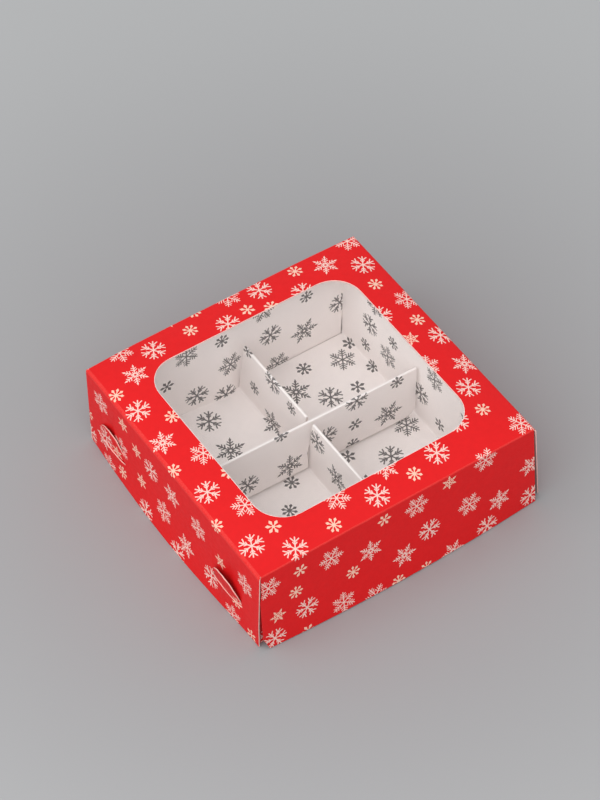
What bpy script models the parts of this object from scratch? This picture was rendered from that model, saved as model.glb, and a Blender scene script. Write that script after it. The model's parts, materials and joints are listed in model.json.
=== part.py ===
"""Windowed candy carton: a tray with a white insert, and a hinged lid held by four lock tabs.

Run it in Blender 4.5. Metres, +Z up. The origin is the middle of the carton's underside, X runs
along the front from left to right and Y from front to back.
"""
import math

import bmesh
import bpy
from mathutils import Matrix, Vector

# Outer size and stock
BOX_WIDTH = 0.120
BOX_DEPTH = 0.115
BOX_HEIGHT = 0.040
BOARD = 0.0004
FILM = 0.00015
GAP = 0.0003
CUT_OVERRUN = 0.002

# Lid: window, crown and the spring of its loose panels
WINDOW_SIDE_BORDER = 0.0155
WINDOW_END_BORDER = 0.0145
WINDOW_CORNER_RADIUS = 0.012
FILM_BORDER = 0.003
CROWN_RISE = 0.0026
CROWN_RUN = 0.022
FLAP_SPRING_DEG = 4.4
FLAP_BOW = 0.0022
FLAP_LEFT_TAPER = 0.0012
FLAP_RIGHT_TAPER = 0.0002
SKIRT_PROUD = 0.0004
RIGHT_LEAN_FRONT = 0.0040
RIGHT_LEAN_BACK = 0.0012
LEFT_FOOT_BOW = 0.0028

# Tray: the inner walls of its white insert stand clear of the outer walls
LEDGE_WIDTH_SIDE = 0.0113
LEDGE_WIDTH_END = 0.0093
MITRE_CLEARANCE = 0.00045
CORNER_FLAP_LENGTH = 0.0052
CORNER_FLAP_DROP = 0.0025

# Lock tabs: tongues cut from the side walls that come out through slits in the skirts
TAB_WIDTH = 0.0185
TAB_RISE = 0.0110
TAB_BACK_LEAN_DEG = 3.0
TAB_FRONT_LEAN_DEG = 10.0
TAB_HEIGHT = 0.0110
TAB_BACK_INSET = 0.0165
TAB_FRONT_INSET = 0.0200
TAB_BEND_RADIUS = 0.0005
TAB_STAND_OFF = 0.0004
TAB_TIP_SHARE = 0.2
SLIT_HEIGHT = 0.0016
SLIT_END_CLEARANCE = 0.0004

# Divider: a ridge folded up from the insert's floor and a cross piece dropped over it
DIVIDER_HEIGHT = 0.0275
DIVIDER_FOLD_SPACE = 0.0003
NOTCH_FRONT_Y = -0.0032
NOTCH_BACK_Y = 0.0012
RIDGE_TOP_SETBACK = 0.0050
RIDGE_FOOT_SETBACK = 0.0009
CROSS_LEFT_GAP = 0.0006
CROSS_RIGHT_GAP = 0.0018
CROSS_CORNER_RADIUS = 0.0045

# Counts
CROWN_STEPS = 6
FILM_STEPS = 4
FLAP_STEPS = (8, 6)
SKIRT_STEPS = (10, 6)
TAB_STEPS = (10, 7)
BEND_STEPS = 3
ARC_STEPS = 8

# Faces of the sheets, from the outside of the box inwards
SKIRT_OUT = BOX_WIDTH / 2
SKIRT_IN = SKIRT_OUT - BOARD
WALL_OUT = SKIRT_IN - GAP
WALL_IN = WALL_OUT - BOARD
FRONT_OUT = -BOX_DEPTH / 2
FRONT_WALL_OUT = FRONT_OUT + BOARD + GAP
FRONT_WALL_IN = FRONT_WALL_OUT + BOARD
BACK_OUT = BOX_DEPTH / 2
BACK_IN = BACK_OUT - BOARD
LEDGE_BACK_Y = BACK_IN - GAP
CELL_X = WALL_OUT - LEDGE_WIDTH_SIDE
CELL_FRONT_Y = FRONT_WALL_OUT + LEDGE_WIDTH_END
CELL_BACK_Y = LEDGE_BACK_Y - LEDGE_WIDTH_END
TAB_BACK_Y = BACK_OUT - TAB_BACK_INSET
TAB_FRONT_Y = FRONT_OUT + TAB_FRONT_INSET

# Levels, from the table up
WALL_FOOT = BOARD + GAP
FLOOR_TOP = WALL_FOOT + BOARD
LID_UNDER = BOX_HEIGHT - BOARD
LEDGE_TOP = LID_UNDER - GAP
LEDGE_UNDER = LEDGE_TOP - BOARD
WALL_TOP = LEDGE_UNDER - GAP
PANEL_TOP_DEPTH = BOARD + GAP
PANEL_DEPTH = BOX_HEIGHT - GAP
DIVIDER_TOP = FLOOR_TOP + DIVIDER_HEIGHT
DIVIDER_HALF = BOARD + DIVIDER_FOLD_SPACE / 2
DIVIDER_MIDDLE = (FLOOR_TOP + DIVIDER_TOP) / 2

# Colours of the printed board, its white inner face and the film, as linear values
RED_BOARD = (0.82, 0.022, 0.02, 1.0)
WHITE_BOARD = (0.72, 0.68, 0.66, 1.0)
CLEAR_FILM = (0.95, 0.97, 0.98, 0.25)


def clear_scene():
    for item in list(bpy.data.objects):
        bpy.data.objects.remove(item, do_unlink=True)


def new_collection(name):
    collection = bpy.data.collections.new(name)
    bpy.context.scene.collection.children.link(collection)
    return collection


def finish(name, colour, roughness):
    material = bpy.data.materials.new(name)
    material.use_nodes = True
    material.diffuse_color = colour
    shader = material.node_tree.nodes["Principled BSDF"]
    shader.inputs["Base Color"].default_value = colour
    shader.inputs["Roughness"].default_value = roughness
    shader.inputs["Metallic"].default_value = 0.0
    shader.inputs["Alpha"].default_value = colour[3]
    return material


def red_finish(name):
    return finish(name + "_red_print", RED_BOARD, 0.45)


def white_finish(name):
    return finish(name + "_white_board", WHITE_BOARD, 0.7)


def film_finish(name):
    return finish(name + "_clear", CLEAR_FILM, 0.08)


def add_part(name, mesh, material, origin=Vector(), parent=None):
    """Links a mesh drawn in the box's frame as an object whose own origin is moved to origin."""
    mesh.name = name
    mesh.transform(Matrix.Translation(-Vector(origin)))
    mesh.materials.clear()
    mesh.materials.append(material)
    part = bpy.data.objects.new(name, mesh)
    part.location = Vector(origin)
    if parent:
        part.parent = parent
        part.location -= parent.matrix_world.translation
    PARTS.objects.link(part)
    return part


def add_axis(name, position, parent=None):
    """An empty on a crease, which carries the panels that turn about it."""
    axis = bpy.data.objects.new(name, None)
    axis.location = Vector(position)
    if parent:
        axis.parent = parent
        axis.location -= parent.matrix_world.translation
    PARTS.objects.link(axis)
    bpy.context.view_layer.update()
    return axis


def box_mesh(low, high):
    low, high = Vector(low), Vector(high)
    size = high - low
    form = bmesh.new()
    bmesh.ops.create_cube(form, size=1.0)
    bmesh.ops.scale(form, vec=size, verts=form.verts)
    bmesh.ops.translate(form, vec=(low + high) / 2, verts=form.verts)
    mesh = bpy.data.meshes.new("box")
    form.to_mesh(mesh)
    form.free()
    return mesh


def plate_mesh(outline, thickness, place):
    """A flat outline with a thickness. place turns its plane and moves it into the box."""
    curve = bpy.data.curves.new("outline", "CURVE")
    curve.dimensions = "2D"
    curve.fill_mode = "BOTH"
    curve.extrude = thickness / 2
    spline = curve.splines.new("POLY")
    spline.points.add(len(outline) - 1)
    for point, (x, y) in zip(spline.points, outline):
        point.co = (x, y, 0.0, 1.0)
    spline.use_cyclic_u = True
    drawn = bpy.data.objects.new("outline", curve)
    PARTS.objects.link(drawn)
    bpy.context.view_layer.update()
    seen = drawn.evaluated_get(bpy.context.evaluated_depsgraph_get())
    mesh = bpy.data.meshes.new_from_object(seen)
    bpy.data.objects.remove(drawn, do_unlink=True)
    form = bmesh.new()
    form.from_mesh(mesh)
    bmesh.ops.remove_doubles(form, verts=form.verts, dist=BOARD / 100)
    bmesh.ops.recalc_face_normals(form, faces=form.faces)
    form.to_mesh(mesh)
    form.free()
    mesh.transform(place)
    return mesh


def sheet_mesh(steps, place):
    """A grid of steps cells; place(column, row) gives each of its points."""
    columns, rows = steps
    form = bmesh.new()
    bmesh.ops.create_grid(form, x_segments=columns, y_segments=rows, size=1.0)
    for vert in form.verts:
        column = round((vert.co.x + 1) / 2 * columns)
        row = round((vert.co.y + 1) / 2 * rows)
        vert.co = place(column, row)
    mesh = bpy.data.meshes.new("sheet")
    form.to_mesh(mesh)
    form.free()
    return mesh


def thicken(part, thickness, side):
    """Solidify from the drawn face; side -1 puts the board behind it."""
    wall = part.modifiers.new("board", "SOLIDIFY")
    wall.thickness = thickness
    wall.offset = side
    wall.use_even_offset = True


def arc(centre, radius, start_deg, end_deg):
    points = []
    for step in range(ARC_STEPS + 1):
        angle = math.radians(start_deg + (end_deg - start_deg) * step / ARC_STEPS)
        points.append((centre[0] + radius * math.cos(angle), centre[1] + radius * math.sin(angle)))
    return points


def rounded_rectangle(width, depth, radius):
    inner_x = width / 2 - radius
    inner_y = depth / 2 - radius
    points = arc((inner_x, inner_y), radius, 0, 90)
    points += arc((-inner_x, inner_y), radius, 90, 180)
    points += arc((-inner_x, -inner_y), radius, 180, 270)
    points += arc((inner_x, -inner_y), radius, 270, 360)
    return points


def cut(part, cutter_mesh, name):
    """Cuts a part with a hidden cutter, which moves with the part."""
    cutter_mesh.transform(Matrix.Translation(-part.matrix_world.translation))
    cutter = bpy.data.objects.new(name, cutter_mesh)
    cutter.parent = part
    cutter.hide_render = True
    cutter.display_type = "WIRE"
    CUTTERS.objects.link(cutter)
    hole = part.modifiers.new(name, "BOOLEAN")
    hole.operation = "DIFFERENCE"
    hole.solver = "EXACT"
    hole.object = cutter


def crown_share(distance):
    """How far the lid has risen, as a share, at a distance in from a crease."""
    run = min(distance / CROWN_RUN, 1.0)
    return 1.0 - (1.0 - run) ** 2


def crown(x, y):
    return CROWN_RISE * crown_share(BOX_WIDTH / 2 - abs(x)) * crown_share(BOX_DEPTH / 2 - abs(y))


def banded(step, steps, half, band):
    """Places a grid line: steps lines share a band inside each edge, and the middle is one cell."""
    if step <= steps:
        return -half + band * step / steps
    return half - band * (2 * steps + 1 - step) / steps


def skirt_lean(side, y, depth):
    """How far a skirt stands out from upright: the left one bows at its foot, the right one leans."""
    back_share = (y - FRONT_OUT) / BOX_DEPTH
    if side < 0:
        return LEFT_FOOT_BOW * math.sin(math.pi * max(back_share, 0.0)) * (depth / BOX_HEIGHT) ** 3
    bottom = RIGHT_LEAN_FRONT + (RIGHT_LEAN_BACK - RIGHT_LEAN_FRONT) * back_share
    return bottom * depth / BOX_HEIGHT


def build_base():
    low = (-WALL_OUT, FRONT_WALL_OUT, 0)
    high = (WALL_OUT, BACK_OUT, BOARD)
    add_part("base_panel", box_mesh(low, high), red_finish("base_panel"))


def build_end_walls():
    front_low = (-WALL_OUT, FRONT_WALL_OUT, WALL_FOOT)
    front_high = (WALL_OUT, FRONT_WALL_IN, WALL_TOP)
    add_part("front_wall", box_mesh(front_low, front_high), red_finish("front_wall"))
    back_low = (-WALL_OUT, BACK_IN, WALL_FOOT)
    back_high = (WALL_OUT, BACK_OUT, LEDGE_TOP)
    add_part("back_wall", box_mesh(back_low, back_high), red_finish("back_wall"))


def tongue_outline(half_width, rise):
    """The half-round tongue that is cut from a side wall, from its straight lower edge up."""
    points = []
    for step in range(2 * ARC_STEPS + 1):
        angle = math.pi * step / (2 * ARC_STEPS)
        points.append((half_width * math.cos(angle), rise * math.sin(angle)))
    return points


def build_side_wall(side, name):
    outer, inner = side * WALL_OUT, side * WALL_IN
    low = (min(outer, inner), FRONT_WALL_IN + GAP, WALL_FOOT)
    high = (max(outer, inner), BACK_IN - GAP, WALL_TOP)
    wall = add_part(name, box_mesh(low, high), red_finish(name))
    upright = Matrix.Rotation(math.radians(90), 4, "Z") @ Matrix.Rotation(math.radians(90), 4, "X")
    foot = TAB_HEIGHT - BOARD / 2 - GAP
    for label, y, _ in TABS:
        outline = tongue_outline(TAB_WIDTH / 2 + SLIT_END_CLEARANCE, TAB_RISE + SLIT_END_CLEARANCE)
        place = Matrix.Translation((side * (WALL_OUT + WALL_IN) / 2, y, foot)) @ upright
        cut(wall, plate_mesh(outline, CUT_OVERRUN, place), name + "_tongue_hole_" + label)


def build_corner_flaps():
    """Glue flaps turned in from the ends of the front and back walls, behind the side walls."""
    outer = WALL_IN - GAP
    inner = outer - BOARD
    spans = {"front": (FRONT_WALL_IN + GAP, FRONT_WALL_IN + GAP + CORNER_FLAP_LENGTH),
             "back": (BACK_IN - GAP - CORNER_FLAP_LENGTH, BACK_IN - GAP)}
    for end, (near, far) in spans.items():
        for side, label in SIDES:
            low = (min(side * outer, side * inner), near, WALL_FOOT)
            high = (max(side * outer, side * inner), far, WALL_TOP - CORNER_FLAP_DROP)
            name = "corner_flap_" + end + "_" + label
            add_part(name, box_mesh(low, high), white_finish(name))


def build_ledges():
    """The insert's level ledges, folded outwards over the outer walls and mitred at the corners."""
    middle = (LEDGE_TOP + LEDGE_UNDER) / 2
    flat = Matrix.Translation((0, 0, middle))
    ends = {"front": (FRONT_WALL_OUT, CELL_FRONT_Y), "back": (LEDGE_BACK_Y, CELL_BACK_Y)}
    for end, (outer, inner) in ends.items():
        outline = [(-WALL_OUT, outer), (WALL_OUT, outer), (CELL_X, inner), (-CELL_X, inner)]
        name = "ledge_" + end
        add_part(name, plate_mesh(outline, BOARD, flat), white_finish(name))
    for side, label in SIDES:
        outline = [(side * WALL_OUT, FRONT_WALL_OUT + MITRE_CLEARANCE),
                   (side * CELL_X, CELL_FRONT_Y + MITRE_CLEARANCE),
                   (side * CELL_X, CELL_BACK_Y - MITRE_CLEARANCE),
                   (side * WALL_OUT, LEDGE_BACK_Y - MITRE_CLEARANCE)]
        name = "ledge_" + label
        add_part(name, plate_mesh(outline, BOARD, flat), white_finish(name))


def build_inner_walls():
    ends = {"front": (CELL_FRONT_Y - BOARD, CELL_FRONT_Y), "back": (CELL_BACK_Y, CELL_BACK_Y + BOARD)}
    for end, (near, far) in ends.items():
        low = (-CELL_X + GAP, near, WALL_FOOT)
        high = (CELL_X - GAP, far, WALL_TOP)
        name = "inner_wall_" + end
        add_part(name, box_mesh(low, high), white_finish(name))
    for side, label in SIDES:
        face, behind = side * CELL_X, side * (CELL_X + BOARD)
        low = (min(face, behind), CELL_FRONT_Y - BOARD, WALL_FOOT)
        high = (max(face, behind), CELL_BACK_Y + BOARD, WALL_TOP)
        name = "inner_wall_" + label
        add_part(name, box_mesh(low, high), white_finish(name))


def build_floor():
    for side, label in SIDES:
        near, far = side * (DIVIDER_HALF + GAP), side * (CELL_X - GAP)
        low = (min(near, far), CELL_FRONT_Y + GAP, WALL_FOOT)
        high = (max(near, far), CELL_BACK_Y - GAP, FLOOR_TOP)
        name = "floor_" + label
        add_part(name, box_mesh(low, high), white_finish(name))


def build_ridge():
    """Two leaves of the floor folded up back to back, notched for the cross piece, with a slanted end."""
    low = (-DIVIDER_HALF, CELL_FRONT_Y + GAP, WALL_FOOT)
    high = (DIVIDER_HALF, CELL_BACK_Y - GAP, DIVIDER_TOP)
    ridge = add_part("ridge_divider", box_mesh(low, high), white_finish("ridge_divider"))
    half_space = DIVIDER_FOLD_SPACE / 2
    fold_low = (-half_space, low[1] - CUT_OVERRUN, WALL_FOOT - CUT_OVERRUN)
    fold_high = (half_space, high[1] + CUT_OVERRUN, DIVIDER_TOP - BOARD)
    cut(ridge, box_mesh(fold_low, fold_high), "ridge_fold_space")
    notch_low = (-DIVIDER_HALF - CUT_OVERRUN, NOTCH_FRONT_Y, DIVIDER_MIDDLE)
    notch_high = (DIVIDER_HALF + CUT_OVERRUN, NOTCH_BACK_Y, DIVIDER_TOP + CUT_OVERRUN)
    cut(ridge, box_mesh(notch_low, notch_high), "ridge_notch")
    foot_y, top_y = CELL_BACK_Y - RIDGE_FOOT_SETBACK, CELL_BACK_Y - RIDGE_TOP_SETBACK
    under, over, behind = WALL_FOOT - CUT_OVERRUN, DIVIDER_TOP + CUT_OVERRUN, CELL_BACK_Y + CUT_OVERRUN
    outline = [(foot_y, under), (behind, under), (behind, over), (top_y, over), (top_y, DIVIDER_TOP),
               (foot_y, WALL_FOOT)]
    upright = Matrix.Rotation(math.radians(90), 4, "Z") @ Matrix.Rotation(math.radians(90), 4, "X")
    cut(ridge, plate_mesh(outline, 2 * (DIVIDER_HALF + CUT_OVERRUN), upright), "ridge_end")


def build_cross_piece():
    """A folded strip with rounded lower corners, slotted from below to drop over the ridge."""
    left = -CELL_X + CROSS_LEFT_GAP
    right = CELL_X - CROSS_RIGHT_GAP
    foot = FLOOR_TOP + GAP
    radius = CROSS_CORNER_RADIUS
    outline = [(right, DIVIDER_TOP), (left, DIVIDER_TOP)]
    outline += arc((left + radius, foot + radius), radius, 180, 270)
    outline += arc((right - radius, foot + radius), radius, 270, 360)
    upright = Matrix.Rotation(math.radians(90), 4, "X")
    cross = add_part("cross_divider", plate_mesh(outline, 2 * DIVIDER_HALF, upright),
                     white_finish("cross_divider"))
    half_space = DIVIDER_FOLD_SPACE / 2
    fold_low = (left - CUT_OVERRUN, -half_space, foot - CUT_OVERRUN)
    fold_high = (right + CUT_OVERRUN, half_space, DIVIDER_TOP - BOARD)
    cut(cross, box_mesh(fold_low, fold_high), "cross_fold_space")
    slot_half = DIVIDER_HALF + GAP
    slot_low = (-slot_half, -DIVIDER_HALF - CUT_OVERRUN, foot - CUT_OVERRUN)
    slot_high = (slot_half, DIVIDER_HALF + CUT_OVERRUN, DIVIDER_MIDDLE + GAP)
    cut(cross, box_mesh(slot_low, slot_high), "cross_slot")


def build_lid():
    """The window panel and its film, both on the crease along the back wall's top."""
    hinge = add_axis("lid_hinge", (0, BACK_OUT, BOX_HEIGHT))
    cells = 2 * CROWN_STEPS + 1

    def panel_point(column, row):
        x = banded(column, CROWN_STEPS, BOX_WIDTH / 2, CROWN_RUN)
        y = banded(row, CROWN_STEPS, BOX_DEPTH / 2, CROWN_RUN)
        return Vector((x, y, BOX_HEIGHT + crown(x, y)))

    panel = add_part("lid_panel", sheet_mesh((cells, cells), panel_point),
                     red_finish("lid_panel"), hinge.location, hinge)
    thicken(panel, BOARD, -1)
    bpy.context.view_layer.update()
    window_width = BOX_WIDTH - 2 * WINDOW_SIDE_BORDER
    window_depth = BOX_DEPTH - 2 * WINDOW_END_BORDER
    outline = rounded_rectangle(window_width, window_depth, WINDOW_CORNER_RADIUS)
    reach = 2 * (CROWN_RISE + CUT_OVERRUN)
    cut(panel, plate_mesh(outline, reach, Matrix.Translation((0, 0, BOX_HEIGHT))), "lid_window")

    half_width = window_width / 2 + FILM_BORDER
    half_depth = window_depth / 2 + FILM_BORDER
    film_cells = 2 * FILM_STEPS + 1

    def film_point(column, row):
        x = banded(column, FILM_STEPS, half_width, half_width - (BOX_WIDTH / 2 - CROWN_RUN))
        y = banded(row, FILM_STEPS, half_depth, half_depth - (BOX_DEPTH / 2 - CROWN_RUN))
        return Vector((x, y, LID_UNDER - GAP + crown(x, y)))

    film = add_part("window_film", sheet_mesh((film_cells, film_cells), film_point),
                    film_finish("window_film"), hinge.location, hinge)
    thicken(film, FILM, -1)
    return hinge


def build_front_flap(hinge):
    """The closing flap, tapered downwards and sprung a little open."""
    crease = Vector((0, FRONT_OUT, BOX_HEIGHT))
    columns, rows = FLAP_STEPS
    spring = Matrix.Rotation(-math.radians(FLAP_SPRING_DEG), 4, "X")

    def flap_point(column, row):
        depth_share = row / rows
        depth = PANEL_TOP_DEPTH + (PANEL_DEPTH - PANEL_TOP_DEPTH) * depth_share
        left = -WALL_OUT + FLAP_LEFT_TAPER * depth_share
        right = WALL_OUT - FLAP_RIGHT_TAPER * depth_share
        across_share = column / columns
        bow_share = 4 * across_share * (1 - across_share) * depth_share ** 2
        local = Vector((left + (right - left) * across_share, -FLAP_BOW * bow_share, -depth))
        return crease + spring @ local

    flap = add_part("front_flap", sheet_mesh(FLAP_STEPS, flap_point),
                    red_finish("front_flap"), crease, hinge)
    thicken(flap, BOARD, 1)


def build_skirt(side, name, hinge):
    """A side panel of the lid, as deep as the box, with a slit for each lock tab."""
    crease = Vector((side * SKIRT_OUT, 0, BOX_HEIGHT))
    columns, rows = SKIRT_STEPS
    front = FRONT_OUT - SKIRT_PROUD

    def skirt_point(column, row):
        y = front + (BACK_OUT - front) * column / columns
        depth = PANEL_TOP_DEPTH + (PANEL_DEPTH - PANEL_TOP_DEPTH) * row / rows
        return Vector((side * (SKIRT_OUT + skirt_lean(side, y, depth)), y, BOX_HEIGHT - depth))

    skirt = add_part(name, sheet_mesh(SKIRT_STEPS, skirt_point), red_finish(name), crease, hinge)
    thicken(skirt, BOARD, side)
    bpy.context.view_layer.update()
    for label, y, _ in TABS:
        half = TAB_WIDTH / 2 + SLIT_END_CLEARANCE
        reach = RIGHT_LEAN_FRONT + CUT_OVERRUN
        low = (side * SKIRT_OUT - reach, y - half, TAB_HEIGHT - SLIT_HEIGHT / 2)
        high = (side * SKIRT_OUT + reach, y + half, TAB_HEIGHT + SLIT_HEIGHT / 2)
        cut(skirt, box_mesh(low, high), name + "_slit_" + label)


def tab_profile(side, y, lean):
    """The tongue's section: out through the slit, round a bend, then up at its lean."""
    skirt_face = SKIRT_OUT + skirt_lean(side, y, BOX_HEIGHT - TAB_HEIGHT)
    face_x = skirt_face + TAB_STAND_OFF + BOARD
    radius = TAB_BEND_RADIUS
    points = [(WALL_OUT - GAP, TAB_HEIGHT), (face_x - radius, TAB_HEIGHT)]
    for step in range(1, BEND_STEPS + 1):
        turn = (math.pi / 2 - lean) * step / BEND_STEPS
        points.append((face_x - radius + radius * math.sin(turn),
                       TAB_HEIGHT + radius - radius * math.cos(turn)))
    return points


def build_tab(side, y, lean, name):
    """One lock tab, on an axis in the slit that it comes out through."""
    root = tab_profile(side, y, lean)
    rows = len(root) - 1 + TAB_STEPS[1]
    columns = TAB_STEPS[0]
    slit_x = SKIRT_OUT + skirt_lean(side, y, BOX_HEIGHT - TAB_HEIGHT) - BOARD / 2
    tip_angle = math.acos(TAB_TIP_SHARE)

    def tab_point(column, row):
        if row < len(root):
            x, z = root[row]
            width_share = 1.0
        else:
            angle = tip_angle * (row - len(root) + 1) / TAB_STEPS[1]
            climb = TAB_RISE * math.sin(angle)
            x = root[-1][0] + climb * math.sin(lean)
            z = root[-1][1] + climb * math.cos(lean)
            width_share = math.cos(angle)
        across = (2 * column / columns - 1) * width_share * TAB_WIDTH / 2
        return Vector((side * x, y + across, z))

    tab = add_part(name, sheet_mesh((columns, rows), tab_point), red_finish(name),
                   (side * slit_x, y, TAB_HEIGHT))
    thicken(tab, BOARD, 0)


def build_box():
    build_base()
    build_end_walls()
    for side, label in SIDES:
        build_side_wall(side, label + "_wall")
    build_corner_flaps()
    build_ledges()
    build_inner_walls()
    build_floor()
    build_ridge()
    build_cross_piece()
    hinge = build_lid()
    build_front_flap(hinge)
    for side, label in SIDES:
        build_skirt(side, label + "_skirt", hinge)
        for place, y, lean_deg in TABS:
            build_tab(side, y, math.radians(lean_deg), "lock_tab_" + label + "_" + place)


SIDES = ((-1, "left"), (1, "right"))
TABS = (("back", TAB_BACK_Y, TAB_BACK_LEAN_DEG), ("front", TAB_FRONT_Y, TAB_FRONT_LEAN_DEG))

clear_scene()
PARTS = new_collection("candy_box")
CUTTERS = new_collection("candy_box_cutters")
build_box()
bpy.context.view_layer.update()
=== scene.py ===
"""The looks of a windowed candy box folded from printed board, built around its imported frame.

Three sheets of board make the box: the carton, red outside with scattered snowflakes, whose lid
carries the window; the white insert, whose ridge and inner walls are folded up from its floor; and
the cross piece. Each sheet is drawn flat, its snowflakes are cut into it as areas of ink, and it is
then folded over soft creases. Metres, +Z up, X along the front and Y from front to back.
"""

import json
import math

import bpy
import numpy as np
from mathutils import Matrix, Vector
from mathutils.geometry import delaunay_2d_cdt


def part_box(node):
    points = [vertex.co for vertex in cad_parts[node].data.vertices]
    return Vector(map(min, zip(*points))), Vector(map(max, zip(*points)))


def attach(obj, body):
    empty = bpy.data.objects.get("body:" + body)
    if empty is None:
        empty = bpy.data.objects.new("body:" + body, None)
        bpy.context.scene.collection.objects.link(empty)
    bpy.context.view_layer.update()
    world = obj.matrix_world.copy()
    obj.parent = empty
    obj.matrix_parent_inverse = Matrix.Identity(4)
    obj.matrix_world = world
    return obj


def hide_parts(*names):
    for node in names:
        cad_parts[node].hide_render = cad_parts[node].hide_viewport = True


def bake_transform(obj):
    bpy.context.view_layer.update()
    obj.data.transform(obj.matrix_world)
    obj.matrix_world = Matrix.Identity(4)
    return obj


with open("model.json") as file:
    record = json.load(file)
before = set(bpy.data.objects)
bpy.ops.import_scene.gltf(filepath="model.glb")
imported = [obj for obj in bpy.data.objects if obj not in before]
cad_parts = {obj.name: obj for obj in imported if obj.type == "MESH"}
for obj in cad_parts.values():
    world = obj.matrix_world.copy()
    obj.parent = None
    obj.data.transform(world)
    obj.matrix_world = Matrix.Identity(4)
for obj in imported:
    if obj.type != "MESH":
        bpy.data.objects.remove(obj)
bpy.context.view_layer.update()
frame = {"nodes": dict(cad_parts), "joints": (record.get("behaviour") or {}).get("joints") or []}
MM = 0.001

# Places that the frame gives
CREASE = {joint["name"]: Vector(joint["pos_m"]) for joint in frame["joints"]}
LID_X = CREASE["right_skirt_crease"].x
LID_FRONT = CREASE["front_flap_crease"].y
LID_BACK = CREASE["lid_hinge"].y
HEIGHT = CREASE["lid_hinge"].z
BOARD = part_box("base_panel")[1].z
WALL_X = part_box("base_panel")[1].x
FRONT_WALL_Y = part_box("base_panel")[0].y
WALL_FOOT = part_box("left_wall")[0].z
WALL_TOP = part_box("left_wall")[1].z
SKIRT_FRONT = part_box("left_skirt")[0].y
SKIRT_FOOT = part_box("left_skirt")[0].z
CELL_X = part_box("inner_wall_right")[0].x
CELL_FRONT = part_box("inner_wall_front")[1].y
CELL_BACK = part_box("inner_wall_back")[0].y
INNER_WALL_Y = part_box("inner_wall_left")[1].y
LEDGE_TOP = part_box("ledge_left")[1].z
LEDGE_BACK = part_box("ledge_back")[1].y
FLOOR_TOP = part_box("floor_left")[1].z
FLOOR_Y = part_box("floor_left")[1].y
RIDGE_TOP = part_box("ridge_divider")[1].z
RIDGE_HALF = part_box("ridge_divider")[1].x
CROSS_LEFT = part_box("cross_divider")[0].x
CROSS_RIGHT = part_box("cross_divider")[1].x
CROSS_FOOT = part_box("cross_divider")[0].z
CROSS_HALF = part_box("cross_divider")[1].y
TAB_Z = CREASE["tab_left_back_bend"].z
TABS = {"back": CREASE["tab_left_back_bend"].y, "front": CREASE["tab_left_front_bend"].y}
SIDES = {"left": -1, "right": 1}

# Lid: its crown and its window
CROWN_RISE = 2.6 * MM
CROWN_RUN = 22 * MM
WINDOW_X = 44.5 * MM
WINDOW_Y = 43.0 * MM
WINDOW_RADIUS = 12 * MM
RIM_WIDTH = 0.15 * MM
FILM = 0.15 * MM
FILM_BORDER = 3 * MM
FILM_GAP = 0.1 * MM

# Soft creases: how far the bend runs to each side of the fold line
SIDE_CREASE = 1.2 * MM
FRONT_CREASE = 0.45 * MM
BACK_CREASE = 0.5 * MM
BACK_BOW = 0.8 * MM
BACK_BOW_END = 1.1
BASE_CREASE = 0.6 * MM
LEDGE_CREASE = 0.5 * MM
FLOOR_CREASE = 0.9 * MM
RIDGE_CREASE = 0.5 * MM
CREASE_STEPS = 6
CREASE_CLEAR = 0.1 * MM

# Loose panels
FLAP_SPRING = math.radians(4.4)
FLAP_BOW = 2.2 * MM
FLAP_LEFT_PROUD = 0.7 * MM
FLAP_CLEAR = 9 * MM
FLAP_PROUD_FROM = 1.5 * FLAP_CLEAR
FLAP_CUT_WIDTH = 2.2 * MM
FLAP_CUT_HEIGHT = 6 * MM
FLAP_RIGHT_FLARE = 1.3 * MM
RIGHT_LEAN_FRONT = 4.0 * MM
RIGHT_LEAN_BACK = 1.2 * MM
LEFT_FOOT_BOW = 2.8 * MM
FRONT_EDGE_BOW = 0.5 * MM
FRONT_EDGE_FOOT = 0.7 * MM
FRONT_EDGE_RUN = 9 * MM

# Lock tabs and the slits that they come out through
TAB_HALF_WIDTH = 9.25 * MM
TAB_RISE = 11 * MM
TAB_LEAN = {"back": math.radians(3), "front": math.radians(10)}
TAB_ROOT = 1.6 * MM
TAB_CREASE = 0.8 * MM
TAB_STEPS = 24
SLIDE_ROOM = 0.05 * MM
SLIT_RISE = 0.6 * MM
SLIT_HALF = 0.3 * MM
SLIT_OVERRUN = 0.4 * MM
LIP_OUT = 0.75 * MM
LIP_RUN = 4 * MM
LIP_RIPPLE = 0.08 * MM
LIP_RIPPLES = 11
DENT_IN = 0.8 * MM

# Cross piece and ridge. The cross piece's front slot has a torn left side: its corners are given in
# slot half widths and slot heights.
CROSS_CORNER = 4.5 * MM
CROSS_SKEW = 1.9 * MM
CROSS_RAISE = 1.0 * MM
CROSS_REACH = 0.8 * MM
CROSS_SLOT = 0.85 * MM
CROSS_SLOT_TOP = 15.15 * MM
CROSS_SLOT_SHAPE = ((-1.4, 0), (1, 0), (1, 1), (-1, 1), (-1.9, 0.7), (-1.5, 0.4))
NOTCH_FOOT = 14.85 * MM
NOTCH_FRONT = -3.2 * MM
NOTCH_BACK = 1.2 * MM
NOTCH_SLIM = -2.0 * MM
NOTCH_FLARE = 0.6
RIDGE_BACK_TOP = 42.5 * MM
RIDGE_BACK_FOOT = 46.6 * MM

# Walls and ledges
CELL_GAP = 0.3 * MM
END_LEAN = 2.3 * MM
END_LEAN_X = -5 * MM
END_LEAN_LEFT_RUN = 14 * MM
END_LEAN_RIGHT_RUN = 4 * MM
CORNER_SLIT = 0.6 * MM
SLIT_SHARE = 0.4
MITRE = 0.45 * MM

# How finely sheets are cut and measured
GRID = 4 * MM
FINE_GRID = 1 * MM
CURVE_STEP = 0.01 * MM
CUT_CLOSENESS = 1e-8
ARC_STEPS = 10

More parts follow.
